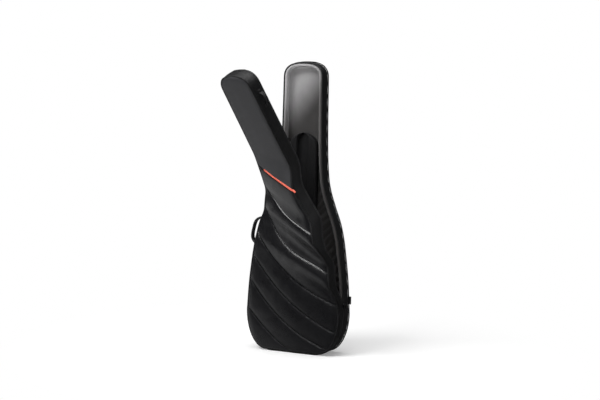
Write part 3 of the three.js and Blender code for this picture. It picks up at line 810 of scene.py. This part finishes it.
seam_steps = np.array([0.0, 0.0011, 0.0024, 0.0042, 0.0070, 0.0110])
lid_curves, row_line = [], []
for line in range(len(quilt_lines) - 1):
    width = (quilt_lines[line + 1][0] - quilt_lines[line][0]) / 1.25
    middle = np.linspace(0.0160, width - 0.0160, max(3, round((width - 0.032) / 0.0052)))
    offsets = np.concatenate([seam_steps, middle, width - seam_steps[:0:-1]])
    for share in offsets / width:
        lid_curves.append(lambda x, line=line, share=share:
                          (1 - share) * quilt_height(line, x)
                          + share * quilt_height(line + 1, x))
        row_line.append((line, share, width))
panel_inset = 0.0012
lid_rows, kept = [], []
for curve, tag in zip(lid_curves, row_line):
    row = slanted_rows(panel_inset, [curve], 62)
    if len(row):
        lid_rows.append(row[0])
        kept.append(tag)
lid_flat = np.array(lid_rows)
line_index = np.array([tag[0] for tag in kept])
line_share = np.array([tag[1] for tag in kept])
strip_width = np.array([tag[2] for tag in kept])
from_seam = np.minimum(line_share, 1 - line_share) * strip_width
from_seam[(line_index == 0) & (line_share < 0.5)] = 1.0
from_seam[(line_index == accent_line) & (line_share > 0.5)] = 1.0

lid_x, lid_z = lid_flat[..., 0], lid_flat[..., 1]
lid_edge = edge_distance(lid_flat, panel_inset)
half_at = np.maximum(side_at(lid_z), 0.02)
is_neck = (line_index == accent_line)[:, None]
crown = 0.0085 * (1 - np.abs(lid_x / half_at) ** 1.25) * np.clip(half_at / half_body, 0.5, 1)
lid_base = -0.0515 - crown


def filled_cloth(points, faces, held, growth, cap):
    """Fills a sewn sheet from behind until it stands off its seams, and gives how far
    each point moved, up to the cap."""
    mesh = bpy.data.meshes.new("sewn_sheet")
    mesh.from_pydata(points.reshape(-1, 3).tolist(), [], faces.tolist())
    sheet = bpy.data.objects.new("sewn_sheet", mesh)
    scene = bpy.context.scene
    scene.collection.objects.link(sheet)
    sheet.vertex_groups.new(name="sewn").add(np.flatnonzero(held).tolist(), 1.0, "REPLACE")
    cloth = sheet.modifiers.new("filling", "CLOTH")
    cloth.collision_settings.use_collision = False
    cloth.point_cache.frame_end = 20
    cloth.settings.quality = 5
    cloth.settings.mass = 0.25
    cloth.settings.tension_stiffness = 14
    cloth.settings.compression_stiffness = 14
    cloth.settings.bending_stiffness = 2.0
    cloth.settings.vertex_group_mass = "sewn"
    cloth.settings.shrink_min = -growth
    cloth.settings.use_pressure = True
    cloth.settings.uniform_pressure_force = 4.0
    cloth.settings.effector_weights.gravity = 0.0
    for step in range(1, 21):
        scene.frame_set(step)
    shaped = sheet.evaluated_get(bpy.context.evaluated_depsgraph_get())
    moved = np.zeros(len(mesh.vertices) * 3)
    shaped.data.vertices.foreach_get("co", moved)
    moved = moved.reshape(-1, 3) - points.reshape(-1, 3)
    scene.frame_set(1)
    bpy.data.objects.remove(sheet)
    length = np.linalg.norm(moved, axis=1)
    return moved * (np.tanh(length / cap) * cap / np.maximum(length, 1e-9))[:, None]


lid_sheet = np.stack([lid_x, lid_base, lid_z], -1)
lid_faces = net(*lid_x.shape)
sewn = np.zeros(lid_x.shape, bool)
sewn[from_seam < 0.0006] = True
sewn[:, [0, -1]] = True
sharp = np.where(line_index + np.round(line_share) >= 5, 0.30, 0.60)
fullness = 1 - sharp * np.exp(-from_seam / 0.0045) - (1 - sharp) * np.exp(-from_seam / 0.026)
pillow = 0.0082 * fullness[:, None] * np.clip(lid_edge / 0.02, 0, 1) ** 0.7
start_sheet = lid_sheet.copy()
start_sheet[..., 1] -= 0.3 * pillow
stood = filled_cloth(start_sheet, lid_faces, sewn.ravel(), 0.006, 0.0075)
stood = 0.45 * stood.reshape(*lid_x.shape, 3)
stood[..., 1] -= 0.75 * pillow
stood = np.where(is_neck[..., None], 0.45 * stood, stood)
lid_front = lid_sheet + stood
groove = 0.0022 * np.exp(-(from_seam / 0.0022) ** 2)[:, None]
groove = groove * np.clip(lid_edge / 0.010, 0.2, 1)
lid_front[..., 1] += groove
roll = 1 - np.clip(lid_edge / 0.012, 0, 1)
lid_front[..., 1] += 0.0065 * (1 - np.sqrt(1 - roll ** 2 * 0.999))
back_share = np.linspace(0, 1, 12)[None, :, None]
lid_back = lid_sheet[:, :1] * (1 - back_share) + lid_sheet[:, -1:] * back_share
lid_back[..., 1] = -0.0425


def lid_finish():
    """Satin nylon below the accent's sewn line and plain matt nylon above it."""
    made = Finish("lid_nylon", Specular_IOR_Level=0.65)
    x, height = made.at.along(0), made.at.along(2)
    above = height + x * 0.4954 + x * x * 0.243 - 0.6766
    above = above.node("ShaderNodeMapRange", None,
                       {"Value": above, "From Min": -0.001, "From Max": 0.001})
    weave = (x * (math.tau / 0.0010)).maths("SINE") * \
        (height * (math.tau / 0.0010)).maths("SINE")
    worn = made.at.noise(9.0, 4.0)
    speck = made.at.noise(420.0, 2.0)
    tone = worn * 0.7 + speck * 0.3
    satin = tone.tint((0.0035, 0.0035, 0.0045), (0.010, 0.010, 0.0115))
    matt = tone.tint((0.023, 0.023, 0.026), (0.038, 0.038, 0.042))
    colour = above.node("ShaderNodeMix", {"data_type": "RGBA"},
                        {0: above, 6: satin, 7: matt}, 2)
    made.feed(Base_Color=colour,
              Roughness=0.31 + above * 0.30 + (worn - 0.5) * 0.22 + weave * 0.03)
    made.bump(weave * 0.08 + speck * 0.07 + worn * 1.6, 0.0004)
    return made.material


satin_nylon = lid_finish()
panel_ring = np.concatenate([lid_front, lid_back[:, ::-1]], 1)
fold_lid("lid_panel", panel_ring,
         net(len(panel_ring), panel_ring.shape[1], close_columns=True), satin_nylon,
         (("lid_panel_lower", "lid_panel_waist"), ("lid_panel_middle",),
                          ("lid_panel_upper",), ("lid_panel_neck",)))

# ---------------------------------------------------------------------------
# Edge piping of the lid: a thin corded roll of black nylon, sewn in between
# the panel and the side wall all round.
# ---------------------------------------------------------------------------
piping = sweep(wall_place, wall_out, rounded_section(0.0030, -0.0482, 0.0040, 0.0038, 14, 2))
fold_lid("lid_piping", piping, net(wall_stations, 14, True, True), binding_tape)

# ---------------------------------------------------------------------------
# Side wall of the lid: the same foam-filled gusset as the shell's, between
# the piping and the zip tape.
# ---------------------------------------------------------------------------
lid_wall = gusset(-0.0455, -0.0058, 0.012, 0.0016, wall_waves[::-1])
fold_lid("lid_side_wall", sweep(wall_place, wall_out, lid_wall),
         net(wall_stations, lid_wall.shape[1], True, True), wall_nylon,
         (("lid_wall_lower", "lid_wall_waist_right", "lid_wall_waist_left"),
          ("lid_wall_middle_right", "lid_wall_middle_left"),
          ("lid_wall_upper_right", "lid_wall_upper_left"), ("lid_wall_neck",)))

# ---------------------------------------------------------------------------
# Lid lining: the same plush as inside the shell, rolled over the lid's rim
# and laid flat behind the panel.
# ---------------------------------------------------------------------------
lid_roll = roll_section * (1, -1)
lid_roll[..., 1] = np.where(lid_roll[..., 1] < -0.030, -0.0405, lid_roll[..., 1])
fold_lid("lid_rim_lining", sweep(wall_place, wall_out, lid_roll),
         net(wall_stations, lid_roll.shape[1], True, True), plush)
lining_rows = slanted_rows(0.0150, [level(z) for z in
                                    [0.0196, *np.arange(0.026, 1.064, 0.0075), 1.0675]], 44)
x, z = lining_rows[..., 0], lining_rows[..., 1]
lining_front = -0.0388 + 0.0011 * np.sin(z * 61 + x * 40) * np.sin(x * 70 - z * 19)
lining_front -= 0.0016 * np.exp(-(((z + 0.75 * x + 0.02) % 0.094 - 0.047) / 0.0035) ** 2)
lining_points, lining_faces = slab_rows(
    np.stack([x, lining_front, z], -1)[:, ::-1],
    np.stack([x, np.full_like(x, -0.0420), z], -1)[:, ::-1])
fold_lid("lid_lining", lining_points, lining_faces, plush,
         (("lid_lining_lower", "lid_lining_waist"), ("lid_lining_middle",),
          ("lid_lining_upper",), ("lid_lining_neck",)))

# ---------------------------------------------------------------------------
# Zip of the lid: the other half of the coil and its tape, sewn to the rear
# edge of the lid's wall.
# ---------------------------------------------------------------------------
tape_section = np.array([(0.0021, -0.0064), (0.0018, -0.0035), (0.0021, -0.0006),
                         (0.0029, -0.0006), (0.0030, -0.0035), (0.0034, -0.0064)])
tape_points = sweep(zip_place[open_part][::4], zip_out[open_part][::4], tape_section)
fold_lid("lid_zip_tape", tape_points, net(len(tape_points), 6, False, True), zip_tape,
         (("lid_zip_waist_right", "lid_zip_waist_left"),
          ("lid_zip_middle_right", "lid_zip_middle_left"),
          ("lid_zip_upper_right", "lid_zip_upper_left"), ("lid_zip_neck",)))
coil_points, coil_faces = coil(zip_place[open_part], zip_out[open_part], 0.0026, -0.0016,
                               0.0032, 0.0021)
fold_lid("lid_zip_coil", coil_points, coil_faces, zip_coil)

# ---------------------------------------------------------------------------
# Accent strip: a coral moulded piping with round ends, laid in the sewn line
# where the quilted body meets the plain neck of the lid.
# ---------------------------------------------------------------------------
coral = Finish("coral_piping", Specular_IOR_Level=0.45)
coral_cloud = coral.at.noise(40.0)
coral.feed(Base_Color=coral_cloud.tint((0.72, 0.105, 0.062), (0.86, 0.165, 0.10)),
           Roughness=0.42 + coral_cloud * 0.14)
coral.bump(coral.at.noise(800.0), 0.0003)
accent_x = np.linspace(-0.0475, 0.1090, 60)
accent_z = quilt_height(accent_line, accent_x) + 0.0012
seam_row = int(np.flatnonzero((line_index == accent_line) & (line_share < 1e-6))[0])
accent_y = np.interp(accent_x, lid_front[seam_row, :, 0], lid_front[seam_row, :, 1])
accent_line_points = np.stack([accent_x, accent_y - 0.0022, accent_z], 1)
ahead = np.gradient(accent_line_points, axis=0)
ahead /= np.linalg.norm(ahead, axis=1)[:, None]
outwards = np.tile((0.0, -1.0, 0.0), (60, 1))
sideways = np.cross(ahead, outwards)
ends = np.minimum(np.arange(60), np.arange(60)[::-1]) * 0.0022
fat = np.sqrt(np.clip(1 - np.clip(1 - ends / 0.0042, 0, 1) ** 2, 0.02, 1))
angle = np.linspace(0, math.tau, 14, endpoint=False)
accent_points = (accent_line_points[:, None]
                 + sideways[:, None] * (0.0042 * fat[:, None] * np.cos(angle))[..., None]
                 + outwards[:, None] * (0.0030 * fat[:, None] * np.sin(angle))[..., None])
fold_lid("accent_piping", accent_points, net(60, 14, False, True), coral.material,
         ((), (), (), ("accent_strip",)))

# ---------------------------------------------------------------------------
# Zip sliders and their pulls: dark cast metal sliders on the coil, each with
# a moulded black rubber pull on its pin.
# ---------------------------------------------------------------------------


def metal_finish(name, low, high, roughness):
    made = Finish(name, flat_cut=False)
    cloud = made.at.noise(55.0, 4.0)
    grain = made.at.noise(1400.0, 2.0)
    made.feed(Base_Color=cloud.tint(low, high), Roughness=roughness + cloud * 0.2,
              Metallic=0.9 + cloud * 0.1)
    made.bump(grain, 0.00015)
    return made.material


dark_metal = metal_finish("dark_cast_metal", (0.05, 0.05, 0.052), (0.12, 0.12, 0.125), 0.26)
pull_rubber = rubber_finish("pull_rubber", flat_cut=False)
for side in ("right", "left"):
    dress(f"zip_slider_{side}", dark_metal)
    dress(f"zip_pull_{side}", pull_rubber)

# ---------------------------------------------------------------------------
# Pull loops: a short loop of black webbing on each side of the lid's neck, its
# feet sewn flat to the side wall. They are held to pull the lid open or shut.
# ---------------------------------------------------------------------------


def across_run(path):
    """Unit steps along a path, and how far along it each point is."""
    ahead = np.gradient(path, axis=0)
    ahead /= np.linalg.norm(ahead, axis=1)[:, None]
    steps = np.linalg.norm(np.diff(path, axis=0), axis=1)
    return ahead, np.concatenate([[0], np.cumsum(steps)])


def band(path, across, width, thick, count=14, squareness=4.0):
    """A flat soft-edged band along a path: points, faces and its flat cut."""
    path = np.asarray(path, float)
    across = np.broadcast_to(across, path.shape)
    ahead, run = across_run(path)
    out = np.cross(ahead, across)
    out /= np.linalg.norm(out, axis=1)[:, None]
    width = np.broadcast_to(width, len(path)) / 2
    thick = np.broadcast_to(thick, len(path)) / 2
    order = np.concatenate([[0], np.arange(len(path)), [len(path) - 1]])
    fat = np.ones(len(order))
    fat[[0, -1]] = 0.05
    ring = rounded_section(0.0, 0.0, 1.0, 1.0, count, squareness)
    points = (path[order][:, None]
              + across[order][:, None] * (width[order] * fat)[:, None, None] * ring[:, :1]
              + out[order][:, None] * (thick[order] * fat)[:, None, None] * ring[:, 1:])
    cut = np.stack([width[order][:, None] * ring[:, 0], thick[order][:, None] * ring[:, 1],
                    np.repeat(run[order][:, None], count, 1)], -1)
    return points, net(len(order), count, close_columns=True), cut


def side_frame(sign, height, outwards, depth):
    """Turns local places (out from the side, along y, up along the side) into the bag's."""
    step = 0.02
    lean = math.atan2(float(side_at(height + step) - side_at(height - step)), 2 * step)
    origin = np.array([sign * (float(side_at(height)) + outwards), depth, height])
    out = np.array([sign * math.cos(lean), 0.0, -math.sin(lean)])
    up = np.array([sign * math.sin(lean), 0.0, math.cos(lean)])

    def place(points):
        points = np.asarray(points, float)
        return (origin + points[..., :1] * out + points[..., 1:2] * (0.0, 1.0, 0.0)
                + points[..., 2:] * up)
    return place


strap_webbing = woven_finish("ribbed_webbing", (0.008, 0.008, 0.009), (0.020, 0.020, 0.021),
                             0.0016, 0.0006, 0.62, 0.4)


def webbing(name, path, across, shape, *nodes, flip=False):
    """A flat piece of webbing fixed to the shell. Its shape is (width, thickness, points
    round the section, squareness)."""
    points, faces, cut = band(path, across, *shape)
    faces = faces[:, ::-1] if flip else faces
    on_root(make(name, points, faces, strap_webbing, cut), "webbing", *nodes)


loop_turn = np.radians(np.linspace(-90, 90, 34))
loop_arch = np.stack([0.0019 + 0.0186 * np.cos(loop_turn), 0 * loop_turn,
                      0.0240 * np.sin(loop_turn)], 1)
foot = np.linspace(0.013, 0.0005, 8)
loop_path = np.vstack([np.stack([0.0014 + 0 * foot, 0 * foot, -0.0240 - foot], 1), loop_arch,
                       np.stack([0.0014 + 0 * foot, 0 * foot, 0.0240 + foot[::-1]], 1)])
for side, sign in (("right", 1), ("left", -1)):
    to_bag = side_frame(sign, 0.975, 0.0003, -0.0239)
    points, faces, cut = band(to_bag(loop_path), (0.0, 1.0, 0.0), 0.0135, 0.0026)
    faces = faces if sign > 0 else faces[:, ::-1]
    loop = make(f"pull_loop_{side}", carried(points.reshape(-1, 3), 4), faces, strap_webbing,
                cut)
    on_root(loop, "webbing", f"lid_pull_loop_{side}", body="lid_neck")
    for end in (-1, 1):
        corners = [(0.0031, y, end * z) for y, z in ((-0.0048, 0.0262), (0.0048, 0.0262),
                                                    (0.0048, 0.0350), (-0.0048, 0.0350),
                                                    (-0.0048, 0.0262))]
        line = carried(respaced(to_bag(corners), 60), 4)
        face = carried(respaced(to_bag(np.array(corners) + (0.01, 0, 0)), 60), 4) - line
        sew(f"loop_stitches_{side}_{'low' if end < 0 else 'high'}", line, face,
            0.0022, 0.0009, 0.00035, "lid_neck")

# ---------------------------------------------------------------------------
# Side handle: a padded grip of black nylon sewn round foam, on a webbing core.
# Each end swings in a folded webbing anchor sewn to the shell's left wall.
# ---------------------------------------------------------------------------
handle_top, handle_low, handle_depth = 0.492, 0.382, 0.028
half_span = 0.5 * math.hypot(handle_top - handle_low,
                             float(side_at(handle_top) - side_at(handle_low)))
grip_lean = math.atan2(float(side_at(handle_low) - side_at(handle_top)),
                       handle_top - handle_low)
grip_middle = np.array([-float(side_at(handle_top) + side_at(handle_low)) / 2,
                        handle_depth, (handle_top + handle_low) / 2])
grip_out = np.array([-math.cos(grip_lean), 0.0, math.sin(grip_lean)])
grip_up = np.array([math.sin(grip_lean), 0.0, math.cos(grip_lean)])
upper_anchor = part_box("handle_anchor_upper")
patch_back = min(float((np.array(corner) - grip_middle) @ grip_out)
                 for corner in (
                     (upper_anchor[1].x, 0, upper_anchor[0].z + 0.004),
                     (upper_anchor[1].x, 0, upper_anchor[0].z + 0.010)))
grip_axis = patch_back + 0.0095 + 0.0015


def on_side(points):
    points = np.asarray(points, float)
    return (grip_middle + points[..., :1] * grip_out + points[..., 1:2] * (0.0, 1.0, 0.0)
            + points[..., 2:] * grip_up)


def bezier(a, b, c, d, t):
    a, b, c, d, t = np.array(a), np.array(b), np.array(c), np.array(d), t[:, None]
    return (1 - t) ** 3 * a + 3 * (1 - t) ** 2 * t * b + 3 * (1 - t) * t ** 2 * c + t ** 3 * d


half_arch = bezier((grip_axis, half_span - 0.0022), (0.0500, half_span - 0.005),
                   (0.0500, half_span / 2), (0.0500, 0.0), np.linspace(0, 1, 34))
arch = np.vstack([half_arch, half_arch[-2::-1] * (1, -1)])
grip_path = on_side(np.stack([arch[:, 0], 0 * arch[:, 0], arch[:, 1]], 1))
from_end = across_run(grip_path)[1]
from_end = np.minimum(from_end, from_end[-1] - from_end)
swell = np.clip((from_end - 0.006) / 0.016, 0, 1)
swell = swell * swell * (3 - 2 * swell)
grip_wide = 0.0105 + 0.0125 * swell
grip_thick = 0.0042 + 0.0046 * swell
creases = 0.0004 * np.sin(from_end * 900) * swell
points, faces, cut = band(grip_path, (0.0, 1.0, 0.0), grip_wide, grip_thick + creases, 24, 2.6)
grip = make("padded_handle", points, faces, panel_nylon, cut)
on_root(grip, "webbing", "side_handle", body="handle")
for edge in (-1, 1):
    seam = slice(14, len(grip_path) - 14)
    line = grip_path[seam] + (0.0, edge * 0.0088, 0.0)
    facing = grip_path[seam] - grip_middle
    facing = facing - (facing @ grip_up)[:, None] * grip_up
    line = line + facing / np.linalg.norm(facing, axis=1)[:, None] * 0.0039
    sew(f"handle_stitches_{'front' if edge < 0 else 'rear'}", respaced(line, 120),
        respaced(facing, 120), 0.0026, 0.0012, 0.0004, "handle")
for name, end in (("upper", 1), ("lower", -1)):
    flat = np.linspace(-0.0128, 0.0128, 12)
    lift = patch_back + 0.0004 + 0 * flat
    patch_path = on_side(np.stack([lift + 0.0012, 0 * flat, end * half_span + flat], 1))
    webbing(f"anchor_patch_{name}", patch_path, (0.0, 1.0, 0.0), (0.0256, 0.0024, 16, 9.0),
            f"handle_anchor_{name}")
    tab_turn = np.linspace(0, math.pi, 22)
    tab = np.stack([np.concatenate([np.linspace(0.0014, 0.0080, 5),
                                    0.0080 + 0.0030 * np.sin(tab_turn),
                                    np.linspace(0.0080, 0.0014, 5)]),
                    np.concatenate([np.full(5, 0.0022), 0.0048 - 0.0026 * np.cos(tab_turn),
                                    np.full(5, 0.0074)])], 1)
    tab_path = on_side(np.stack([patch_back + tab[:, 0], 0 * tab[:, 0],
                                 end * (half_span + tab[:, 1])], 1))
    webbing(f"anchor_tab_{name}", tab_path, (0.0, 1.0, 0.0), (0.0105, 0.0020, 12, 5.0))
    cross = [(-1, -1), (1, -1), (1, 1), (-1, 1), (-1, -1), (1, 1)]
    line = on_side(respaced(np.array([(patch_back + 0.0029, y * 0.0105,
                                       end * half_span + z * 0.0108) for y, z in cross]), 150))
    sew(f"anchor_stitches_{name}", line, grip_out, 0.0024, 0.0010, 0.00038)

# ---------------------------------------------------------------------------
# Shoulder straps: contoured foam pads covered in black nylon and bound at the
# edges, sewn under one wide anchor between the shoulders.
# ---------------------------------------------------------------------------
back_face = 0.0523
strap_top_x, strap_top_z = 0.034, 0.640
strap_low_x, strap_low_z = 0.100, 0.330
strap_cloth = woven_finish("strap_nylon", (0.009, 0.009, 0.010), (0.024, 0.024, 0.026),
                           0.0018, 0.0007, 0.55, 0.45)


def on_back(start, end):
    """Turns (across, out, down the run) into the bag's places, from start towards end."""
    start, end = np.array(start, float), np.array(end, float)
    ahead = (end - start) / np.linalg.norm(end - start)
    sideways = np.array([-ahead[1], ahead[0]])
    if sideways[0] < 0:
        sideways = -sideways

    def place(points):
        points = np.asarray(points, float)
        flat = start + points[..., :1] * sideways + points[..., 2:] * ahead
        return np.stack([flat[..., 0], back_face + points[..., 1], flat[..., 1]], -1)
    return place, float(np.linalg.norm(end - start)), np.array([sideways[0], 0, sideways[1]])


def pad_half(run, length):
    near = np.minimum(run, length - run)
    corner = np.clip(1 - near / 0.020, 0, 1)
    return 0.0300 - 0.020 * (1 - np.sqrt(1 - corner ** 2 * 0.998))


for side, sign in (("right", 1), ("left", -1)):
    place, length, sideways = on_back((sign * strap_top_x, strap_top_z),
                                      (sign * strap_low_x, strap_low_z))
    pad_run = 0.006 + (length - 0.006) * (0.5 - 0.5 * np.cos(np.linspace(0, math.pi, 120)))
    pad_run = 0.5 * pad_run + 0.5 * np.linspace(0.006, length, 120)
    share = np.sin(np.linspace(-math.pi / 2, math.pi / 2, 31))
    half = pad_half(pad_run - 0.006, length - 0.006)
    x, run = np.meshgrid(share, pad_run)
    wide = x * half[:, None]
    inside = np.minimum(half[:, None] - np.abs(wide),
                        np.minimum(run - 0.006, length - run) + 0.0005)
    dome = np.sqrt(np.clip(1 - np.clip(1 - inside / 0.012, 0, 1) ** 2, 0, 1))
    height = 0.0035 + 0.0098 * dome
    height -= 0.0030 * np.exp(-((inside - 0.0065) / 0.0014) ** 2)
    spacing = np.abs((run - 0.006) % 0.062 - 0.031)
    height -= 0.0034 * np.exp(-(spacing / 0.0026) ** 2) * np.clip((inside - 0.006) / 0.004, 0, 1)
    height += 0.0004 * np.sin(run * 330 + sign) * np.sin(wide * 260) * dome
    top = place(np.stack([wide, height, run], -1))
    under = place(np.stack([wide, np.full_like(wide, 0.0004), run], -1))
    points, faces = slab_rows(top[:, ::-1], under[:, ::-1])
    pad_cut = slab_rows(np.stack([wide, height, run], -1)[:, ::-1],
                        np.stack([wide, 0 * wide, run], -1)[:, ::-1])[0]
    pad = make(f"padded_strap_{side}", points, faces, strap_cloth, pad_cut)
    on_root(pad, "strap_padding", f"shoulder_strap_{side}")

    rim = np.linspace(0, 1, 90)
    along = 0.0062 + (length - 0.0064) * rim
    rim_half = pad_half(along - 0.006, length - 0.006) + 0.0002
    outline = np.vstack([np.stack([rim_half, 0 * along + 0.0026, along], 1),
                         np.stack([-rim_half, 0 * along + 0.0026, along], 1)[::-1]])
    outline = respaced(np.vstack([outline, outline[:1]]), 260)[:-1]
    centre = place(outline)
    ahead = np.roll(centre, -1, 0) - np.roll(centre, 1, 0)
    ahead /= np.linalg.norm(ahead, axis=1)[:, None]
    out = np.cross(ahead, (0.0, 1.0, 0.0))
    ring = rounded_section(0.0, 0.0, 0.0022, 0.0028, 10, 2.6)
    rolled = (centre[:, None] + out[:, None] * ring[:, :1]
              + np.array((0.0, 1.0, 0.0)) * ring[:, 1:])
    edge_faces = net(len(centre), 10, True, True)
    edging = make(f"strap_binding_{side}", rolled, edge_faces, binding_tape)
    on_root(edging, "webbing")

    tail_run = np.linspace(length - 0.006, length + 0.0155, 12)
    tail_line = np.stack([0 * tail_run, 0.0012 + 0 * tail_run, tail_run], 1)
    webbing(f"strap_tail_{side}", place(tail_line), sideways, (0.0250, 0.0020, 12, 6.0))

anchor_run = np.linspace(0.6404, 0.6702, 10)
anchor_path = np.stack([0 * anchor_run, back_face + 0.0014 + 0 * anchor_run, anchor_run], 1)
webbing("strap_anchor", anchor_path, (1.0, 0.0, 0.0), (0.1298, 0.0026, 40, 12.0),
        "strap_top_anchor")
for sign in (-1, 1):
    box = [(-1, -1), (1, -1), (1, 1), (-1, 1), (-1, -1), (1, 1), (1, -1), (-1, 1)]
    line = respaced(np.array([(sign * strap_top_x + x * 0.024, back_face + 0.0029,
                               0.6553 + z * 0.011)
                              for x, z in box]), 240)
    sew(f"strap_anchor_stitches_{'left' if sign < 0 else 'right'}", line, (0.0, 1.0, 0.0),
        0.0026, 0.0011, 0.0004)

# ---------------------------------------------------------------------------
# Lower strap webbing: flat webbing from each ladder buckle to a metal ring in
# a webbing tab, sewn into the seam low on each side.
# ---------------------------------------------------------------------------
plastic = Finish("buckle_plastic", flat_cut=False, Specular_IOR_Level=0.5)
moulded = plastic.at.noise(30.0)
plastic.feed(Base_Color=moulded.tint((0.008, 0.008, 0.009), (0.016, 0.016, 0.017)),
             Roughness=0.36 + moulded * 0.16)
plastic.bump(plastic.at.noise(900.0), 0.0002)
buckle_gap, buckle_length = 0.0163, 0.0240
ring_height = 0.200
for side, sign in (("right", 1), ("left", -1)):
    dress(f"strap_adjuster_{side}", plastic.material)
    dress(f"lower_ring_{side}", dark_metal)
    ring_low, ring_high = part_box(f"lower_ring_{side}")
    ring_middle = ((ring_low.x + ring_high.x) / 2, (ring_low.z + ring_high.z) / 2)
    strap_end = np.array((sign * strap_low_x, strap_low_z))
    start = strap_end - np.array((sign * strap_top_x, strap_top_z))
    start = strap_end + start / np.linalg.norm(start) * (buckle_gap + buckle_length)
    place, length, sideways = on_back(start, ring_middle)
    run = np.linspace(0.0026, length - 0.0105, 30)
    sag = 0.0012 + 0.0020 * np.sin(np.pi * (run - run[0]) / (run[-1] - run[0])) ** 2
    line = place(np.stack([0 * run, sag, run], 1))
    webbing(f"lower_webbing_{side}", line, sideways, (0.0248, 0.0019, 12, 6.0),
            f"strap_webbing_{side}")
    tab_low, tab_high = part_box(f"lower_ring_tab_{side}")
    inner, outer = sorted((tab_low.x, tab_high.x), key=abs)
    tab_run = np.linspace(inner, outer, 10)
    tab_path = np.stack([tab_run, back_face + 0.0014 + 0 * tab_run, ring_height + 0 * tab_run], 1)
    webbing(f"ring_tab_{side}", tab_path, (0.0, 0.0, 1.0), (0.0298, 0.0025, 14, 9.0),
            f"lower_ring_tab_{side}", flip=sign < 0)
    middle_x = (inner + outer) / 2
    bar = np.array([(middle_x + x * 0.006, back_face + 0.0028, ring_height + z * 0.0115)
                    for x, z in ((-1, -1), (1, -1), (1, 1), (-1, 1), (-1, -1))])
    sew(f"tab_stitches_{side}", respaced(bar, 110), (0.0, 1.0, 0.0), 0.0024, 0.0010, 0.00038)

# ---------------------------------------------------------------------------
# Border stitching: one row of black thread through the edge binding, all
# round the back.
# ---------------------------------------------------------------------------
sew("back_border_stitches", np.vstack([stitch_line, stitch_line[:1]]), (0.0, 1.0, 0.0),
    0.0034, 0.0013, 0.0004)

# ---------------------------------------------------------------------------
# Room: a pale floor and plain soft studio light from above and the left.
# ---------------------------------------------------------------------------
floor_finish = Finish("studio_floor", flat_cut=False, Specular_IOR_Level=0.0,
                      Emission_Color=(1.0, 1.0, 1.0, 1.0), Emission_Strength=0.24)
paper = floor_finish.at.noise(3.0)
floor_finish.feed(Base_Color=paper.tint((0.93, 0.93, 0.93), (0.95, 0.95, 0.95)),
                  Roughness=0.9 + paper * 0.05)


def ray_kind(wire, kind):
    """1 for the named kind of light ray, and 0 for the others."""
    made = wire.tree.nodes.new("ShaderNodeLightPath")
    return Wire(wire.tree, made.outputs[kind])


def shader_mix(share, one, two):
    return share.node("ShaderNodeMixShader", None, {0: share, 1: one, 2: two})


paper_tree = floor_finish.at.tree
lit = Wire(paper_tree, floor_finish.shader.outputs[0])
away = floor_finish.at.node("ShaderNodeVectorMath", {"operation": "LENGTH"},
                            {0: floor_finish.at}, "Value")
far = away.node("ShaderNodeMapRange", {"interpolation_type": "SMOOTHSTEP"},
                {"Value": away, "From Min": 0.45, "From Max": 1.1})
white = far.node("ShaderNodeEmission", None, {"Color": (1.0, 1.0, 1.0, 1.0), "Strength": 1.0})
# Painted reflection: to glossy rays the floor glows, bright in a patch to the left of and behind the bag and near
# black elsewhere, in place of the floor's real reflection.
painted_reflection_patch = floor_finish.at.node("ShaderNodeVectorMath", {"operation": "DISTANCE"},
                            {0: floor_finish.at, 1: (-1.3, 0.3, 0.0)}, "Value")
painted_reflection_patch = painted_reflection_patch.node("ShaderNodeMapRange", {"interpolation_type": "SMOOTHSTEP"},
                 {"Value": painted_reflection_patch, "From Min": 1.6, "From Max": 0.8})
painted_floor_reflection = shader_mix(painted_reflection_patch, far.node("ShaderNodeEmission", None, {"Strength": 0.02}),
                 far.node("ShaderNodeEmission", None, {"Strength": 0.60}))
seen_floor = shader_mix(far * ray_kind(far, "Is Camera Ray"), lit, white)
seen_floor = shader_mix(ray_kind(far, "Is Glossy Ray"), seen_floor, painted_floor_reflection)
paper_tree.links.new(seen_floor.socket, paper_tree.nodes["Material Output"].inputs["Surface"])
floor_mesh = bpy.data.meshes.new("studio_floor")
floor_mesh.from_pydata([(-40, -40, 0), (40, -40, 0), (40, 40, 0), (-40, 40, 0)], [],
                       [(0, 1, 2, 3)])
floor_mesh.materials.append(floor_finish.material)
floor = bpy.data.objects.new("studio_floor", floor_mesh)
bpy.context.scene.collection.objects.link(floor)


def lamp(name, place, aim, size, power):
    light = bpy.data.lights.new(name, "AREA")
    light.shape, light.size, light.size_y, light.energy = "RECTANGLE", *size, power
    holder = bpy.data.objects.new(name, light)
    bpy.context.scene.collection.objects.link(holder)
    holder.location = place
    holder.rotation_euler = (Vector(aim) - Vector(place)).to_track_quat("-Z", "Y").to_euler()


middle = (0.0, 0.0, 0.55)
lamp("key_softbox", (-1.3, -2.1, 3.2), middle, (2.0, 1.2), 90)
lamp("top_softbox", (0.2, -0.3, 3.6), middle, (2.4, 2.4), 60)
lamp("side_strip", (2.6, -2.4, 1.2), middle, (0.5, 2.0), 2)

room = bpy.data.worlds.new("room")
bpy.context.scene.world = room
room.use_nodes = True
backdrop = room.node_tree.nodes["Background"]
backdrop.inputs["Color"].default_value = (1, 1, 1, 1)
sky = Wire(room.node_tree, backdrop.outputs[0])
glossy = ray_kind(sky, "Is Glossy Ray")
strength = 0.22 + ray_kind(sky, "Is Camera Ray") * 0.78 - glossy * 0.18
room.node_tree.links.new(strength.socket, backdrop.inputs["Strength"])

bpy.context.scene.view_settings.view_transform = "Standard"
